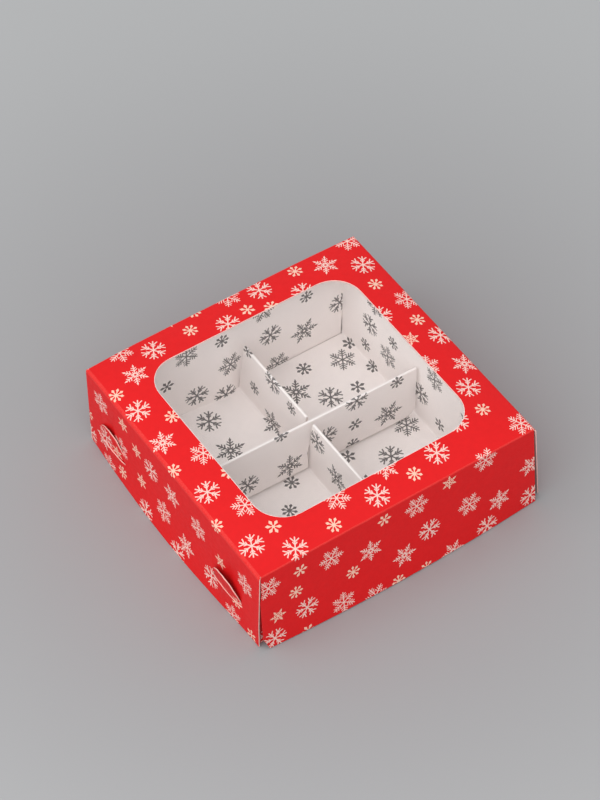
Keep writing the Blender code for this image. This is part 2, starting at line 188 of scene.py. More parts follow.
# Print: where each sheet's print sits on its blank, and the room between two flakes
FLAKE_ROOM = 8.5 * MM
CARTON_SHIFT = (-0.45 * MM, -0.65 * MM)
INSERT_SHIFT = (-0.3, -0.7)

# Board, film and ink: noise scales, the height of a paper fibre in the bump, and the carton's red
FIBRE = 0.003 * MM
FIBRE_SCALE = 1500
FIBRE_STRETCH = (1, 0.35, 1)
CLOUD_SCALE = 420
CRACK_SCALE = 2600
FILM_RIPPLE_SCALE = 60
NOISE_MIDDLE = (0.3, 0.7)
NOISE_CORE = (0.35, 0.65)
RED = (0.78, 0.0095, 0.0115, 1)
# Pale red of cracked ink on the creases that face the softbox: wear, and also a painted highlight
WORN_AND_HIGHLIT_RED = (0.95, 0.16, 0.13, 1)

# Studio: the floor's colour holds a painted shadow, darker round the box, and painted light, lighter towards
# the viewer
FLOOR_REACH = 4.0
FLOOR_PAINTED_SHADE_NEAR = (0.370, 0.370, 0.377, 1)
FLOOR_UNSHADED_FAR = (0.486, 0.494, 0.498, 1)
FLOOR_PAINTED_SHADE_RUN = (0.08, 0.31)
FLOOR_PAINTED_LIGHT_FRONT = 1.04
FLOOR_PAINTED_LIGHT_BACK = 0.94
FLOOR_PAINTED_LIGHT_RUN = (-0.25, 0.45)
WORLD_LIGHT = (0.605, 0.605, 0.605 * 1.01, 1)
WORLD_SEEN = (0.43, 0.43, 0.45, 1)
KEY_PLACE = Vector((-0.67, -0.29, 0.90))
KEY_SIZE = 2.2
KEY_WATTS = 14.4

# Camera: the photo's view
CAMERA_TURN = math.radians(-34.07)
CAMERA_RISE = math.radians(50.26)
CAMERA_TARGET = Vector((15.73, 28.96, 0)) * MM
CAMERA_DISTANCE = 1113.0 * MM
CAMERA_LENS = 131.1
CAMERA_SENSOR = 36
CAMERA_SEES = (0.05, 20)


# Snowflakes: each kind is the four-cornered strokes of one arm, in millimetres along it and across it.
# The paired ones are mirrored across the arm, and disc is the radius of a round centre.
def bar(start, end, width, end_width=None):
    """A straight stroke between two points of an arm, with its width at both ends."""
    start, end = np.array(start, float), np.array(end, float)
    along = (end - start) / np.linalg.norm(end - start)
    across = np.array((-along[1], along[0])) / 2
    end_width = width if end_width is None else end_width
    return [start - across * width, end - across * end_width,
            end + across * end_width, start + across * width]


def kite(start, widest, half_width, tip):
    """A petal along the arm, pointed at its start and its tip."""
    return [(start, 0), (widest, -half_width), (tip, 0), (widest, half_width)]


def diamond_side(reach, width=0.28):
    """A stroke that meets its neighbour between two arms, so that six open diamonds ring the centre."""
    return bar((reach, 0), (1.5 * reach, 0.866 * reach), width)


FLAKES = {
    "fern": {
        "arms": 6, "disc": 0.3,
        "middle": [bar((0, 0), (4.8, 0), 0.46)],
        "paired": [bar((1.7, 0), (2.7, 0.85), 0.46, 0.38), bar((2.7, 0), (4.3, 1.6), 0.44)]},
    "gem": {
        "arms": 6, "disc": 0.3,
        "middle": [bar((0, 0), (5.2, 0), 0.42, 0.36)],
        "paired": [diamond_side(1.75), bar((2.6, 0), (3.6, 1.35), 0.34), bar((3.6, 0), (4.5, 1.1), 0.34)]},
    "star": {
        "arms": 6, "disc": 0,
        "middle": [bar((0.75, 0), (4.6, 0), 0.4), kite(3.5, 4.3, 0.42, 5.3),
                   [(0.45, -0.26), (0.95, -0.55), (0.95, 0.55), (0.45, 0.26)]],
        "paired": [bar((0.8, 0.4), (1.5, 0.86), 0.36, 0.3), bar((1.9, 0), (2.8, 1.2), 0.38),
                   bar((2.9, 0), (3.7, 0.95), 0.36)]},
    "starlet": {
        "arms": 6, "disc": 0.4,
        "middle": [bar((0, 0), (2.6, 0), 0.36), kite(1.9, 2.7, 0.36, 3.5)],
        "paired": [bar((1.0, 0), (1.7, 0.8), 0.34), bar((1.9, 0), (2.4, 0.5), 0.3)]},
    "daisy": {
        "arms": 8, "disc": 0.72,
        "middle": [bar((0, 0), (2.0, 0), 0.4), kite(1.2, 2.3, 0.6, 3.05)],
        "paired": []},
    "aster": {
        "arms": 6, "disc": 0.6,
        "middle": [bar((0, 0), (1.0, 0), 0.34), kite(0.55, 2.1, 0.66, 3.0)],
        "paired": []},
}

# The two ways of printing them: the finishes of large and small flakes, their size, the stars' size
# and how far the ink spreads
CARTON_INK = {"large": "cream", "small": "gold", "size": 1.0, "stars": 1.0, "swell": 0}
INSERT_INK = {"large": "grey", "small": "grey", "size": 1.04, "stars": 1.2, "swell": 0.045 * MM}
SMALL_KINDS = ("starlet", "daisy", "aster")

# Print panel by panel, read off the photo or made up in the same manner where it shows none.
# A flake is (kind, place, place, turn) in millimetres and degrees. The carton's lists have X and Y on
# the lid, X and Z on the front flap, and Y and Z on the left skirt.
LID_PRINT = [
    ("gem", -45, 57.5, 20), ("fern", -34.5, 51, 0), ("daisy", -18, 51.5, 0), ("star", -46.5, 44.5, 10),
    ("daisy", -57, 41, 0), ("fern", -54.5, 30, 0), ("daisy", -46, 20, 0),
    ("star", -55, 12.5, 10), ("gem", -46, -0.5, 0), ("daisy", -58.5, 0, 10), ("fern", -54, -15.5, 5),
    ("aster", -43.5, -13, 0), ("gem", -46.5, -28.5, 30), ("daisy", -59.5, -29, 0), ("fern", -54, -44, 5),
    ("aster", -43.5, -42, 30), ("fern", -42, -53.5, 0), ("daisy", -25, -52.5, 0), ("gem", -18, -44, 30),
    ("fern", -5, -50.5, 0), ("star", 4, -42.5, 0), ("daisy", 11.5, -50, 10), ("fern", 23.5, -47, 0),
    ("gem", 38, -59, 5), ("fern", 37.5, -39.5, 0), ("daisy", 49, -40, 0), ("gem", 57.5, -52, 0),
    ("fern", 51, -28.5, 0), ("star", 57, -18, 0), ("gem", 44, -12, 0), ("fern", 58, -1.5, 0),
    ("starlet", 47, 2, 0), ("daisy", 55, 9, 0), ("fern", 44, 17.5, 0), ("gem", 58, 20, 0),
    ("daisy", 52, 32, 0), ("fern", 54, 43, 0), ("gem", 56.5, 57, 0), ("star", 42, 50.5, 0),
    ("daisy", 31, 54.5, 0), ("fern", 14.5, 54, 10), ("aster", 5, 48, 20), ("gem", 3, 58, 0),
    ("fern", -5, 46, 0), ("daisy", 13, 44, 0), ("fern", 27, 43.5, 0), ("daisy", -11.5, 59, 0),
    ("daisy", 42, 32.5, 0), ("aster", -33, -40, 0)]
FRONT_PRINT = [
    ("gem", -56, 33, 0), ("aster", -42.5, 33.5, 0), ("gem", -29.5, 31, 0), ("daisy", -45, 23.5, 0),
    ("starlet", -53, 16, 0), ("fern", -41, 12.5, 0), ("fern", -55, 5, 0), ("gem", -26, 5.5, 30),
    ("star", -13, 24, 30), ("daisy", -21, 18, 0), ("aster", -6.5, 36, 0), ("gem", 7.5, 34, 0),
    ("fern", 12.5, 18.5, 0), ("star", 1, 12.5, 0), ("daisy", -2.5, 1.5, 0), ("starlet", 22, 37, 30),
    ("gem", 30.5, 20, 0), ("star", 44, 13.5, 30), ("fern", 38, 3.5, 0), ("star", 58.5, 22.5, 0),
    ("fern", 58.5, 6, 0), ("daisy", 10, 0.5, 0), ("star", 22, 1, 0), ("gem", -12.5, 0.5, 0),
    ("aster", -41.5, 0.5, 0)]
LEFT_PRINT = [
    ("gem", 48.5, 31, 0), ("starlet", 33, 34, 0), ("starlet", 24, 28, 0), ("fern", 14, 27, 0),
    ("star", 0, 27, 30), ("gem", -17.5, 26.5, 0), ("starlet", -32, 23, 30), ("gem", -48, 27.5, 0),
    ("gem", 35, 19, 0), ("starlet", 20.5, 14.5, 0), ("gem", 5, 13, 0), ("star", -10.5, 9.5, 30),
    ("fern", -27, 9, 0), ("daisy", -43, 12, 0), ("gem", -41, 2, 0), ("fern", -6, 1.5, 0),
    ("star", 47.5, 11.5, 30), ("daisy", 33.5, 6.5, 0), ("fern", 16, 2.5, 0), ("gem", 43, 1, 0),
    ("fern", 58, 4.5, 0), ("daisy", 58.5, 15, 0), ("aster", -52.5, 2.5, 0)]
# The base also has flakes where the lid has its window
MIDDLE_PRINT = [
    ("fern", -30, 30, 0), ("star", -12, 34, 0), ("daisy", 6, 30, 0), ("gem", 24, 33, 0),
    ("star", -34, 12, 0), ("gem", -16, 14, 0), ("fern", 2, 12, 0), ("daisy", 20, 16, 0),
    ("star", 34, 12, 0), ("daisy", -30, -4, 0), ("fern", -12, -6, 0), ("star", 8, -8, 0),
    ("gem", 27, -6, 0), ("gem", -32, -23, 0), ("daisy", -15, -24, 0), ("fern", 3, -27, 0),
    ("star", 21, -25, 0), ("aster", 36, -24, 0)]
TAB_PRINT = {"back": [("fern", 44, 15.5, 0), ("starlet", 36.5, 14, 0)], "front": [("aster", -44.5, 12.5, 0)]}

# The insert's lists: X and Y on the floor, Y and Z on what runs along Y, and X and Z on the rest
FLOOR_PRINT = [
    ("fern", -19, 39.5, 0), ("star", -20, 23, 0), ("fern", -37, 34, 0), ("gem", -40, 12, 10),
    ("daisy", -9, 10, 0), ("daisy", 25.5, 41, 0), ("gem", 40.5, 36.5, 0), ("star", 16.5, 33, 0),
    ("fern", 26, 23.5, 0), ("aster", 37.5, 22, 0), ("gem", 8, 12, 10), ("star", 31, 8, 0),
    ("daisy", 43, 8, 0), ("daisy", -9.5, -2.5, 0), ("fern", -36, -4, 0),
    ("gem", -30, -25, 0), ("daisy", -17.5, -13, 0), ("star", -12, -36, 10), ("fern", -40, -40, 0),
    ("aster", 15, -4, 0), ("gem", 42, -4, 0), ("fern", 28.5, -13, 0), ("aster", 14, -17.5, 0),
    ("star", 10, -26, 0), ("daisy", 40, -24, 0), ("gem", 24, -38, 0), ("fern", 43, -42, 0),
    ("aster", 6, -44, 0)]
LEFT_WALL_PRINT = [
    ("fern", -36, 28, 0), ("daisy", -20, 14, 0), ("gem", -6, 27, 0), ("star", 12, 10, 0),
    ("fern", 26, 28, 0), ("aster", 40, 13, 0), ("star", -34, 8, 0)]
RIDGE_LEFT_PRINT = [
    ("daisy", 36, 12, 0), ("fern", 23.5, 27.5, 0), ("daisy", 11, 25, 0), ("star", 23.5, 4, 0),
    ("fern", -6, 22.5, 0), ("aster", 40.5, 29, 0), ("star", -19, 14.5, 30), ("gem", -37, 20, 0),
    ("aster", 6, 8, 0), ("daisy", -32, 5, 0)]
RIDGE_RIGHT_PRINT = [
    ("star", 12, 10, 0), ("aster", -12, 20, 0), ("gem", -24, 8, 0), ("fern", 38, 16, 0),
    ("daisy", -40, 20, 0)]
RIGHT_WALL_PRINT = [
    ("fern", 29.5, 23.5, 0), ("gem", 17.5, 16.5, 0), ("daisy", 14.5, 27, 0), ("daisy", 32, 9.5, 0),
    ("gem", -12, 31.5, 0), ("fern", -4, 16, 0), ("aster", -16.5, 10, 0),
    ("daisy", 26.5, 2, 0), ("aster", 41.5, 1, 0), ("gem", 27, 37, 0), ("star", -34, 26, 0),
    ("fern", -32, 8, 0)]
BACK_WALL_PRINT = [
    ("gem", -22.5, 33.5, 30), ("daisy", -7, 32.5, 0), ("daisy", 31.5, 33, 0), ("aster", -31.5, 22, 0),
    ("gem", -4, 18, 0), ("fern", 15, 21.5, 0), ("fern", -19, 9, 0), ("star", 30.5, 14, 0),
    ("fern", -7, 3, 0), ("fern", 47, 20, 0), ("gem", 18, 3, 0), ("star", -42, 12, 0),
    ("fern", -43, 31, 0), ("gem", 12, 37, 0)]
FRONT_WALL_PRINT = [
    ("star", -36, 28, 0), ("fern", -20, 13, 0), ("daisy", -6, 30, 0), ("gem", 10, 15, 0),
    ("star", 26, 29, 0), ("fern", 38, 10, 0), ("aster", -40, 8, 0)]
CROSS_FRONT_PRINT = [
    ("daisy", -12.5, 29.5, 0), ("fern", -27.5, 10.5, 0), ("star", -9, 9.5, 30), ("fern", 20.5, 28, 0),
    ("daisy", 38.5, 27, 0), ("star", 35, 11, 0), ("aster", 20, 14.5, 0), ("daisy", 19, 3.5, 0),
    ("fern", 7, 16, 0), ("daisy", -40, 22, 0)]
CROSS_BACK_PRINT = [
    ("star", -30, 14, 0), ("daisy", -14, 18, 0), ("fern", 10, 12, 0), ("gem", 28, 16, 0),
    ("aster", 41, 8, 0)]


# Nodes and materials
def wire(tree, node, inputs):
    """Sets a node's inputs to plain values, or links them to other nodes' outputs."""
    for socket, value in inputs.items():
        if isinstance(value, bpy.types.NodeSocket):
            tree.links.new(value, node.inputs[socket])
        else:
            node.inputs[socket].default_value = value
    return node


def add(tree, kind, inputs=None, **settings):
    node = tree.nodes.new(kind)
    for name, value in settings.items():
        setattr(node, name, value)
    return wire(tree, node, inputs or {})


def new_material(name):
    material = bpy.data.materials.new(name)
    material.use_nodes = True
    return material, material.node_tree


def noise(tree, scale, detail, stretch=(1, 1, 1)):
    """A noise in the piece's own coordinates, drawn out along the grain by stretch."""
    place = add(tree, "ShaderNodeTexCoord")
    grain = add(tree, "ShaderNodeMapping", {"Vector": place.outputs["Object"], "Scale": stretch})
    texture = add(tree, "ShaderNodeTexNoise",
                  {"Vector": grain.outputs["Vector"], "Scale": scale, "Detail": detail})
    return texture.outputs["Fac"]


def ramp(tree, value, low, high):
    """Maps the core of a noise's range to a colour between low and high."""
    node = add(tree, "ShaderNodeValToRGB", {"Fac": value})
    for element, place, colour in zip(node.color_ramp.elements, NOISE_CORE, (low, high)):
        element.position = place
        element.color = colour
    return node.outputs["Color"]


def spread(tree, value, low, high, run=NOISE_MIDDLE, **settings):
    """Maps a run of a value, the middle of a noise's range if none is given, to numbers from low to high."""
    span = {"Value": value, "From Min": run[0], "From Max": run[1], "To Min": low, "To Max": high}
    return add(tree, "ShaderNodeMapRange", span, **settings).outputs["Result"]


def shade(colour, factor):
    return tuple(min(1.0, part * factor) for part in colour[:3]) + (1.0,)


def board_finish(name, colour, roughness, fibre_height, mottle, gloss):
    """Printed or bare board: ink or pulp mottling, paper fibres in the bump, and an uneven gloss."""
    material, tree = new_material(name)
    cloud = noise(tree, CLOUD_SCALE, 4)
    fibres = noise(tree, FIBRE_SCALE, 3, FIBRE_STRETCH)
    bump = add(tree, "ShaderNodeBump", {"Strength": 0.5, "Distance": fibre_height * FIBRE, "Height": fibres})
    wire(tree, tree.nodes["Principled BSDF"], {
        "Base Color": ramp(tree, cloud, shade(colour, 1 - mottle), shade(colour, 1 + mottle)),
        "Roughness": spread(tree, fibres, roughness - 0.05, roughness + 0.06),
        "Normal": bump.outputs["Normal"], "Specular IOR Level": gloss})
    return material


def worn_finish(name, colour, worn, roughness, fibre_height, mottle, gloss):
    """Print along a crease, where the bent ink has fine pale cracks. It goes only on the creases that face
    the softbox, so its paler red is also a painted highlight.
    """
    material = board_finish(name, colour, roughness, fibre_height, mottle, gloss)
    tree = material.node_tree
    shader = tree.nodes["Principled BSDF"]
    print_colour = shader.inputs["Base Color"].links[0].from_socket
    cracks = spread(tree, noise(tree, CRACK_SCALE, 5), 0.02, 0.3)
    blend = add(tree, "ShaderNodeMix", {"Factor": cracks, "A": print_colour, "B": worn}, data_type="RGBA")
    wire(tree, shader, {"Base Color": blend.outputs["Result"]})
    return material


def film_finish():
    """Clear window film: it lets light through and mirrors a little of the room, more so at a slant."""
    material, tree = new_material("clear_film")
    tree.nodes.remove(tree.nodes["Principled BSDF"])
    clear = add(tree, "ShaderNodeBsdfTransparent", {"Color": (0.995, 0.995, 0.995, 1)})
    ripple = spread(tree, noise(tree, FILM_RIPPLE_SCALE, 2), 0.06, 0.12)
    sheen = add(tree, "ShaderNodeBsdfGlossy", {"Color": (0.9, 0.9, 0.9, 1), "Roughness": ripple})
    slant = add(tree, "ShaderNodeLayerWeight")
    share = spread(tree, slant.outputs["Facing"], 0.015, 0.07, (0.2, 1))
    mix = add(tree, "ShaderNodeMixShader",
              {"Fac": share, 1: clear.outputs["BSDF"], 2: sheen.outputs["BSDF"]})
    wire(tree, tree.nodes["Material Output"], {"Surface": mix.outputs["Shader"]})
    return material


def make_finishes():
    """Each board finish has a colour, a roughness, a fibre height in FIBRE, a mottle and a gloss."""
    boards = {
        "red": ("red_print", RED, 0.5, 1, 0.02, 0.2),
        "cream": ("bare_flakes", (0.96, 0.64, 0.57, 1), 0.55, 1, 0.03, 0.3),
        "gold": ("bare_small_flakes", (0.96, 0.60, 0.46, 1), 0.55, 1, 0.03, 0.3),
        "white": ("white_board", (0.985, 0.92, 0.895, 1), 0.65, 2, 0.01, 0.3),
        # The same white board, darker on the insert's floors: painted shade
        "floor": ("white_board_with_painted_floor_shade", (0.955, 0.89, 0.865, 1), 0.65, 2, 0.015, 0.3),
        # The grey-brown back of the insert's board, kept dark so that the gaps under the cross piece read as
        # shadow: partly the board's colour, partly painted shade
        "shade": ("grey_brown_back_and_painted_shade", (0.42, 0.36, 0.32, 1), 0.7, 3, 0.03, 0.3),
        "inside": ("unprinted_inside", (0.66, 0.54, 0.52, 1), 0.7, 3, 0.03, 0.3),
        "grey": ("grey_flakes", (0.165, 0.152, 0.148, 1), 0.6, 2, 0.08, 0.3),
        "raw": ("cut_edge", (0.93, 0.84, 0.80, 1), 0.75, 6, 0.08, 0.2),
        "pink_edge": ("cut_edge_beside_red", (0.93, 0.56, 0.50, 1), 0.75, 6, 0.08, 0.2),
    }
    finishes = {look: board_finish(*values) for look, values in boards.items()}
    finishes["worn_red"] = worn_finish("red_print_on_a_crease", RED, WORN_AND_HIGHLIT_RED, 0.42, 1, 0.02, 0.2)
    finishes["film"] = film_finish()
    return finishes


def placed(name, data):
    """A new object in the scene."""
    piece = bpy.data.objects.new(name, data)
    bpy.context.scene.collection.objects.link(piece)
    return piece


# Printed snowflakes, made by Geometry Nodes
def stroke(tree, corners):
    """One four-cornered stroke of ink as a filled outline."""
    places = {"Point " + str(number): (x * MM, y * MM, 0) for number, (x, y) in enumerate(corners, start=1)}
    outline = tree.nodes.new("GeometryNodeCurvePrimitiveQuadrilateral")
    outline.mode = "POINTS"
    wire(tree, outline, places)
    fill = add(tree, "GeometryNodeFillCurve", {"Curve": outline.outputs["Curve"]}, mode="NGONS")
    return fill.outputs["Mesh"]


def join(tree, forms):
    joined = tree.nodes.new("GeometryNodeJoinGeometry")
    for form in forms:
        tree.links.new(form, joined.inputs["Geometry"])
    return joined.outputs["Geometry"]


def copies_on(tree, points, form, turn, size=None):
    """Copies of a form on points, each turned about Z."""
    spin = add(tree, "ShaderNodeCombineXYZ", {"Z": turn})
    copies = add(tree, "GeometryNodeInstanceOnPoints",
                 {"Points": points, "Instance": form, "Rotation": spin.outputs["Vector"]})
    if size is not None:
        tree.links.new(size, copies.inputs["Scale"])
    real = add(tree, "GeometryNodeRealizeInstances", {"Geometry": copies.outputs["Instances"]})
    return real.outputs["Geometry"]


def flake_tree(kind, design):
    """A tree that puts one kind of snowflake on every point that it is given.

    Its inputs are the points, which carry their turn, the number of arms, the size and the ink.
    """
    tree = bpy.data.node_groups.new("snowflake_" + kind, "GeometryNodeTree")
    for name, value in {"Places": "Geometry", "Arms": "Int", "Size": "Float", "Ink": "Material"}.items():
        tree.interface.new_socket(name, in_out="INPUT", socket_type="NodeSocket" + value)
    tree.interface.new_socket("Flakes", in_out="OUTPUT", socket_type="NodeSocketGeometry")
    given = tree.nodes.new("NodeGroupInput").outputs

    half = join(tree, [stroke(tree, corners) for corners in design["paired"]])
    mirror = add(tree, "GeometryNodeTransform", {"Geometry": half, "Scale": (1, -1, 1)})
    middle = [stroke(tree, corners) for corners in design["middle"]]
    arm = join(tree, [half, mirror.outputs["Geometry"]] + middle)

    centre = add(tree, "GeometryNodePoints", {"Count": given["Arms"]})
    number = add(tree, "GeometryNodeInputIndex")
    full_turn = add(tree, "ShaderNodeMath", {0: math.tau, 1: given["Arms"]}, operation="DIVIDE")
    step = add(tree, "ShaderNodeMath", {0: number.outputs["Index"], 1: full_turn.outputs["Value"]},
               operation="MULTIPLY")
    forms = [copies_on(tree, centre.outputs["Points"], arm, step.outputs["Value"])]
    if design["disc"]:
        disc = add(tree, "GeometryNodeMeshCircle",
                   {"Vertices": 2 * design["arms"], "Radius": design["disc"] * MM}, fill_type="NGON")
        forms.append(disc.outputs["Mesh"])

    turn = add(tree, "GeometryNodeInputNamedAttribute", {"Name": "turn"}, data_type="FLOAT")
    print_run = copies_on(tree, given["Places"], join(tree, forms), turn.outputs["Attribute"], given["Size"])
    ink = add(tree, "GeometryNodeSetMaterial", {"Geometry": print_run, "Material": given["Ink"]})
    wire(tree, tree.nodes.new("NodeGroupOutput"), {"Flakes": ink.outputs["Geometry"]})
    return tree


def stamp(places, look=CARTON_INK):
    """The ink areas of a list of (kind, x, y, turn) in metres and degrees, as (outline, finish)."""
    areas = []
    for kind, tree in FLAKE_TREES.items():
        chosen = [place for place in places if place[0] == kind]
        if not chosen:
            continue
        points = bpy.data.meshes.new("places")
        points.from_pydata([(x, y, 0) for _, x, y, _ in chosen], [], [])
        turns = points.attributes.new("turn", "FLOAT", "POINT")
        turns.data.foreach_set("value", [math.radians(turn) for *_, turn in chosen])
        holder = placed("print", points)
        press = holder.modifiers.new("print", "NODES")
        press.node_group = tree
        sockets = {item.name: item.identifier for item in tree.interface.items_tree}
        finish = look["small"] if kind in SMALL_KINDS else look["large"]
        press[sockets["Arms"]] = FLAKES[kind]["arms"]
        press[sockets["Size"]] = look["stars"] if kind == "star" else look["size"]
        press[sockets["Ink"]] = FINISHES[finish]
        bpy.context.view_layer.update()
        seen = holder.evaluated_get(bpy.context.evaluated_depsgraph_get())
        printed = bpy.data.meshes.new_from_object(seen)
        corners = np.zeros(len(printed.vertices) * 3)
        printed.vertices.foreach_get("co", corners)
        corners = corners.reshape(-1, 3)[:, :2]
        outlines = [corners[list(face.vertices)] for face in printed.polygons]
        areas += [(widened(outline, look["swell"]), finish) for outline in outlines]
        bpy.data.objects.remove(holder)
        bpy.data.meshes.remove(printed)
    return areas


def laid(panel_print, place=lambda x, y: (x, y), shift=(0, 0)):
    """A panel's print as a list of (kind, x, y, turn) on its sheet's flat blank.

    place turns the panel's own two directions into the blank's, after a shift in millimetres.
    """
    return [(kind, *place((x + shift[0]) * MM, (y + shift[1]) * MM), turn)
            for kind, x, y, turn in panel_print]


# Board
def counterclockwise(ring):
    x, y = ring[:, 0], ring[:, 1]
    area = np.dot(x, np.roll(y, -1)) - np.dot(y, np.roll(x, -1))
    return ring if area > 0 else ring[::-1]


def widened(ring, swell):
    """A stroke's outline with every side moved out, as ink swells on uncoated board."""
    ring = counterclockwise(ring)
    ways = np.roll(ring, -1, axis=0) - ring
    ways /= np.linalg.norm(ways, axis=1)[:, None]
    outs = np.stack((ways[:, 1], -ways[:, 0]), 1)
    before = np.roll(outs, 1, axis=0)
    return ring + swell * (before + outs) / (1 + (before * outs).sum(1))[:, None]


def faces_from_flat(outline, holes, ink, lines):
    """Cuts a flat outline along its ink and its lines. Gives points, triangles and the ink on each."""
    outline = counterclockwise(np.array(outline, float))
    low, high = outline.min(0), outline.max(0)
    rings = [outline] + [counterclockwise(np.array(hole, float)) for hole in holes]
    hole_numbers = set(range(1, len(rings)))
    inked = {}
    for ring, finish in ink:
        if (ring.max(0) > low).all() and (ring.min(0) < high).all():
            inked[len(rings)] = finish
            rings.append(counterclockwise(ring))
    points, loops = [], []
    for ring in rings:
        loops.append(list(range(len(points), len(points) + len(ring))))
        points += [tuple(point) for point in ring]
    cuts = []
    for axis, place in lines:
        if low[axis] < place < high[axis]:
            ends = [list(low), list(high)]
            ends[0][axis] = ends[1][axis] = place
            cuts.append((len(points), len(points) + 1))
            points += [tuple(end) for end in ends]
    flat, _, faces, _, _, sources = delaunay_2d_cdt([Vector(point) for point in points], cuts, loops, 0,
                                                    CUT_CLOSENESS, True)
    flat = np.array([tuple(point) for point in flat])
    kept, printed = [], []
    for face, found in zip(faces, sources):
        if 0 in found and hole_numbers.isdisjoint(found):
            kept.append(face)
            printed.append(next((inked[number] for number in found if number in inked), None))
    used, renumbered = np.unique(np.array(kept), return_inverse=True)
    return flat[used], renumbered.reshape(-1, 3), printed


def facing(surface, flat):
    """Points and normals of a folded surface at flat places. The printed face looks along the normals."""
    step = CURVE_STEP
    along = surface(flat + (step, 0)) - surface(flat - (step, 0))
    across = surface(flat + (0, step)) - surface(flat - (0, step))
    normals = np.cross(along, across)
    normals /= np.linalg.norm(normals, axis=1)[:, None]
    return surface(flat), normals


def card(name, surface, outline, sides, ink=(), lines=(), holes=(), thickness=BOARD):
    """A piece of folded board: a printed face, a back and the raw edges between them.

    sides are the finishes of the printed face, the back and the raw edge.
    """
    flat, triangles, printed = faces_from_flat(outline, holes, ink, lines)
    front, normals = facing(surface, flat)
    count = len(flat)
    back = front - normals * thickness
    first = triangles[0]
    turn = np.cross(front[first[1]] - front[first[0]], front[first[2]] - front[first[0]])
    if turn @ normals[first[0]] < 0:
        triangles = triangles[:, ::-1]
    edges = dict.fromkeys((triangle[number], triangle[number - 2])
                          for triangle in triangles for number in range(3))
    rim = [(a, b) for a, b in edges if (b, a) not in edges]
    faces = [tuple(triangle) for triangle in triangles]
    faces += [tuple(triangle[::-1] + count) for triangle in triangles]
    faces += [(a, a + count, b + count, b) for a, b in rim]
    mesh = bpy.data.meshes.new(name)
    points = np.vstack((front, back))
    mesh.from_pydata(points.tolist(), [], faces)
    looks = [finish or sides[0] for finish in printed] + [sides[1]] * len(printed) + [sides[2]] * len(rim)
    slots = {look: number for number, look in enumerate(sorted(set(looks)))}
    for look in slots:
        mesh.materials.append(FINISHES[look])
    mesh.polygons.foreach_set("material_index", [slots[look] for look in looks])
    mesh.polygons.foreach_set("use_smooth", np.ones(len(faces), bool))
    corner_normals = list(normals[triangles.ravel()]) + list(-normals[triangles[:, ::-1].ravel()])
    for a, b in rim:
        edge = np.cross(-normals[a], points[b] - points[a])
        corner_normals += [edge / np.linalg.norm(edge)] * 4
    mesh.update()
    mesh.normals_split_custom_set([tuple(normal) for normal in corner_normals])
    return placed(name, mesh)


def rectangle(low_x, low_y, high_x, high_y):
    return [(low_x, low_y), (high_x, low_y), (high_x, high_y), (low_x, high_y)]


def rounded(half_x, half_y, radius):
    """A rectangle about the origin with round corners."""
    ring = []
    for quarter in range(4):
        centre_x = (half_x - radius) * (1 if quarter in (0, 3) else -1)
        centre_y = (half_y - radius) * (1 if quarter < 2 else -1)
        for step in range(ARC_STEPS + 1):
            angle = math.pi / 2 * (quarter + step / ARC_STEPS)
            ring.append((centre_x + radius * math.cos(angle), centre_y + radius * math.sin(angle)))
    return ring


def half_round(out, root, middle, way):
    """The half round of a lock tab, which rises by out from its root and runs along Y by way."""
    angles = [math.pi * step / TAB_STEPS for step in range(TAB_STEPS + 1)]
    return [(root + out * math.sin(angle), middle + way * TAB_HALF_WIDTH * math.cos(angle))
            for angle in angles]


def grid_lines(axis, start, end, step=GRID):
    """Evenly spaced cutting lines, so that a wide panel can bend."""
    count = max(1, round((end - start) / step))
    return [(axis, start + (end - start) * number / count) for number in range(count + 1)]


def bend_lines(axis, fold, reach):
    """Cutting lines close together over a crease."""
    return grid_lines(axis, fold - reach, fold + reach, 2 * reach / CREASE_STEPS)


def along_path(corners, reaches, run):
    """Places on a path through corners, which it rounds off within reach of each.

    run is measured along the sharp path, so a place on a panel is found by adding up lengths.
    """
    corners = np.array(corners, float)
    steps = np.diff(corners, axis=0)
    lengths = np.linalg.norm(steps, axis=1)
    ways = steps / lengths[:, None]
    starts = np.concatenate(([0], np.cumsum(lengths)))
    leg = np.clip(np.searchsorted(starts, run, side="right") - 1, 0, len(ways) - 1)
    places = corners[leg] + ways[leg] * (run - starts[leg])[:, None]
    for number, reach in enumerate(reaches, start=1):
        near_fold = np.abs(run - starts[number]) < reach
        share = ((run[near_fold] - starts[number]) / reach + 1) / 2
        before = corners[number] - ways[number - 1] * reach
        after = corners[number] + ways[number] * reach
        bend = np.outer((1 - share) ** 2, before) + np.outer(2 * share * (1 - share), corners[number])
        places[near_fold] = bend + np.outer(share ** 2, after)
    return places


# The carton's shape: each surface takes places on the flat blank
def crown_share(distance):
    run = np.clip(distance / CROWN_RUN, 0, 1)
    return 1 - (1 - run) ** 2


def crown(x, y):
    return CROWN_RISE * crown_share(LID_X - np.abs(x)) * crown_share(LID_BACK - np.abs(y))


def back_bow(x):
    """The crease along the back wall's top bows backwards between the corners."""
    return BACK_BOW * (1 - np.clip(x / LID_X, -1, 1) ** 4)


def lid_surface(flat):
    x, y = flat[:, 0], flat[:, 1]
    near_back = np.clip((y - WINDOW_Y) / (LID_BACK - WINDOW_Y), 0, BACK_BOW_END)
    return np.stack((x, y + back_bow(x) * near_back ** 2, HEIGHT + crown(x, y)), 1)


def film_surface(flat):
    places = lid_surface(flat)
    places[:, 2] -= BOARD + FILM_GAP
    return places


def slit_bow(y):
    """How far the lip of a slit bows out at a place along the wall, as a share and with small ripples."""
    bow = np.zeros_like(y)
    for middle in TABS.values():
        share = np.clip(np.abs(y - middle) / (TAB_HALF_WIDTH + SLIT_OVERRUN), 0, 1)
        bow += (1 - share ** 3) * (1 + LIP_RIPPLE / LIP_OUT * np.sin(share * LIP_RIPPLES))
    return bow


def lip(y, depth):
    """How far the tabs push a skirt out below its slits and how far they let it fall in above them."""
    below = depth - (HEIGHT - TAB_Z - SLIT_RISE)
    fall = np.exp(-np.abs(below) / LIP_RUN)
    return slit_bow(y) * fall * np.where(below > 0, LIP_OUT, -DENT_IN)


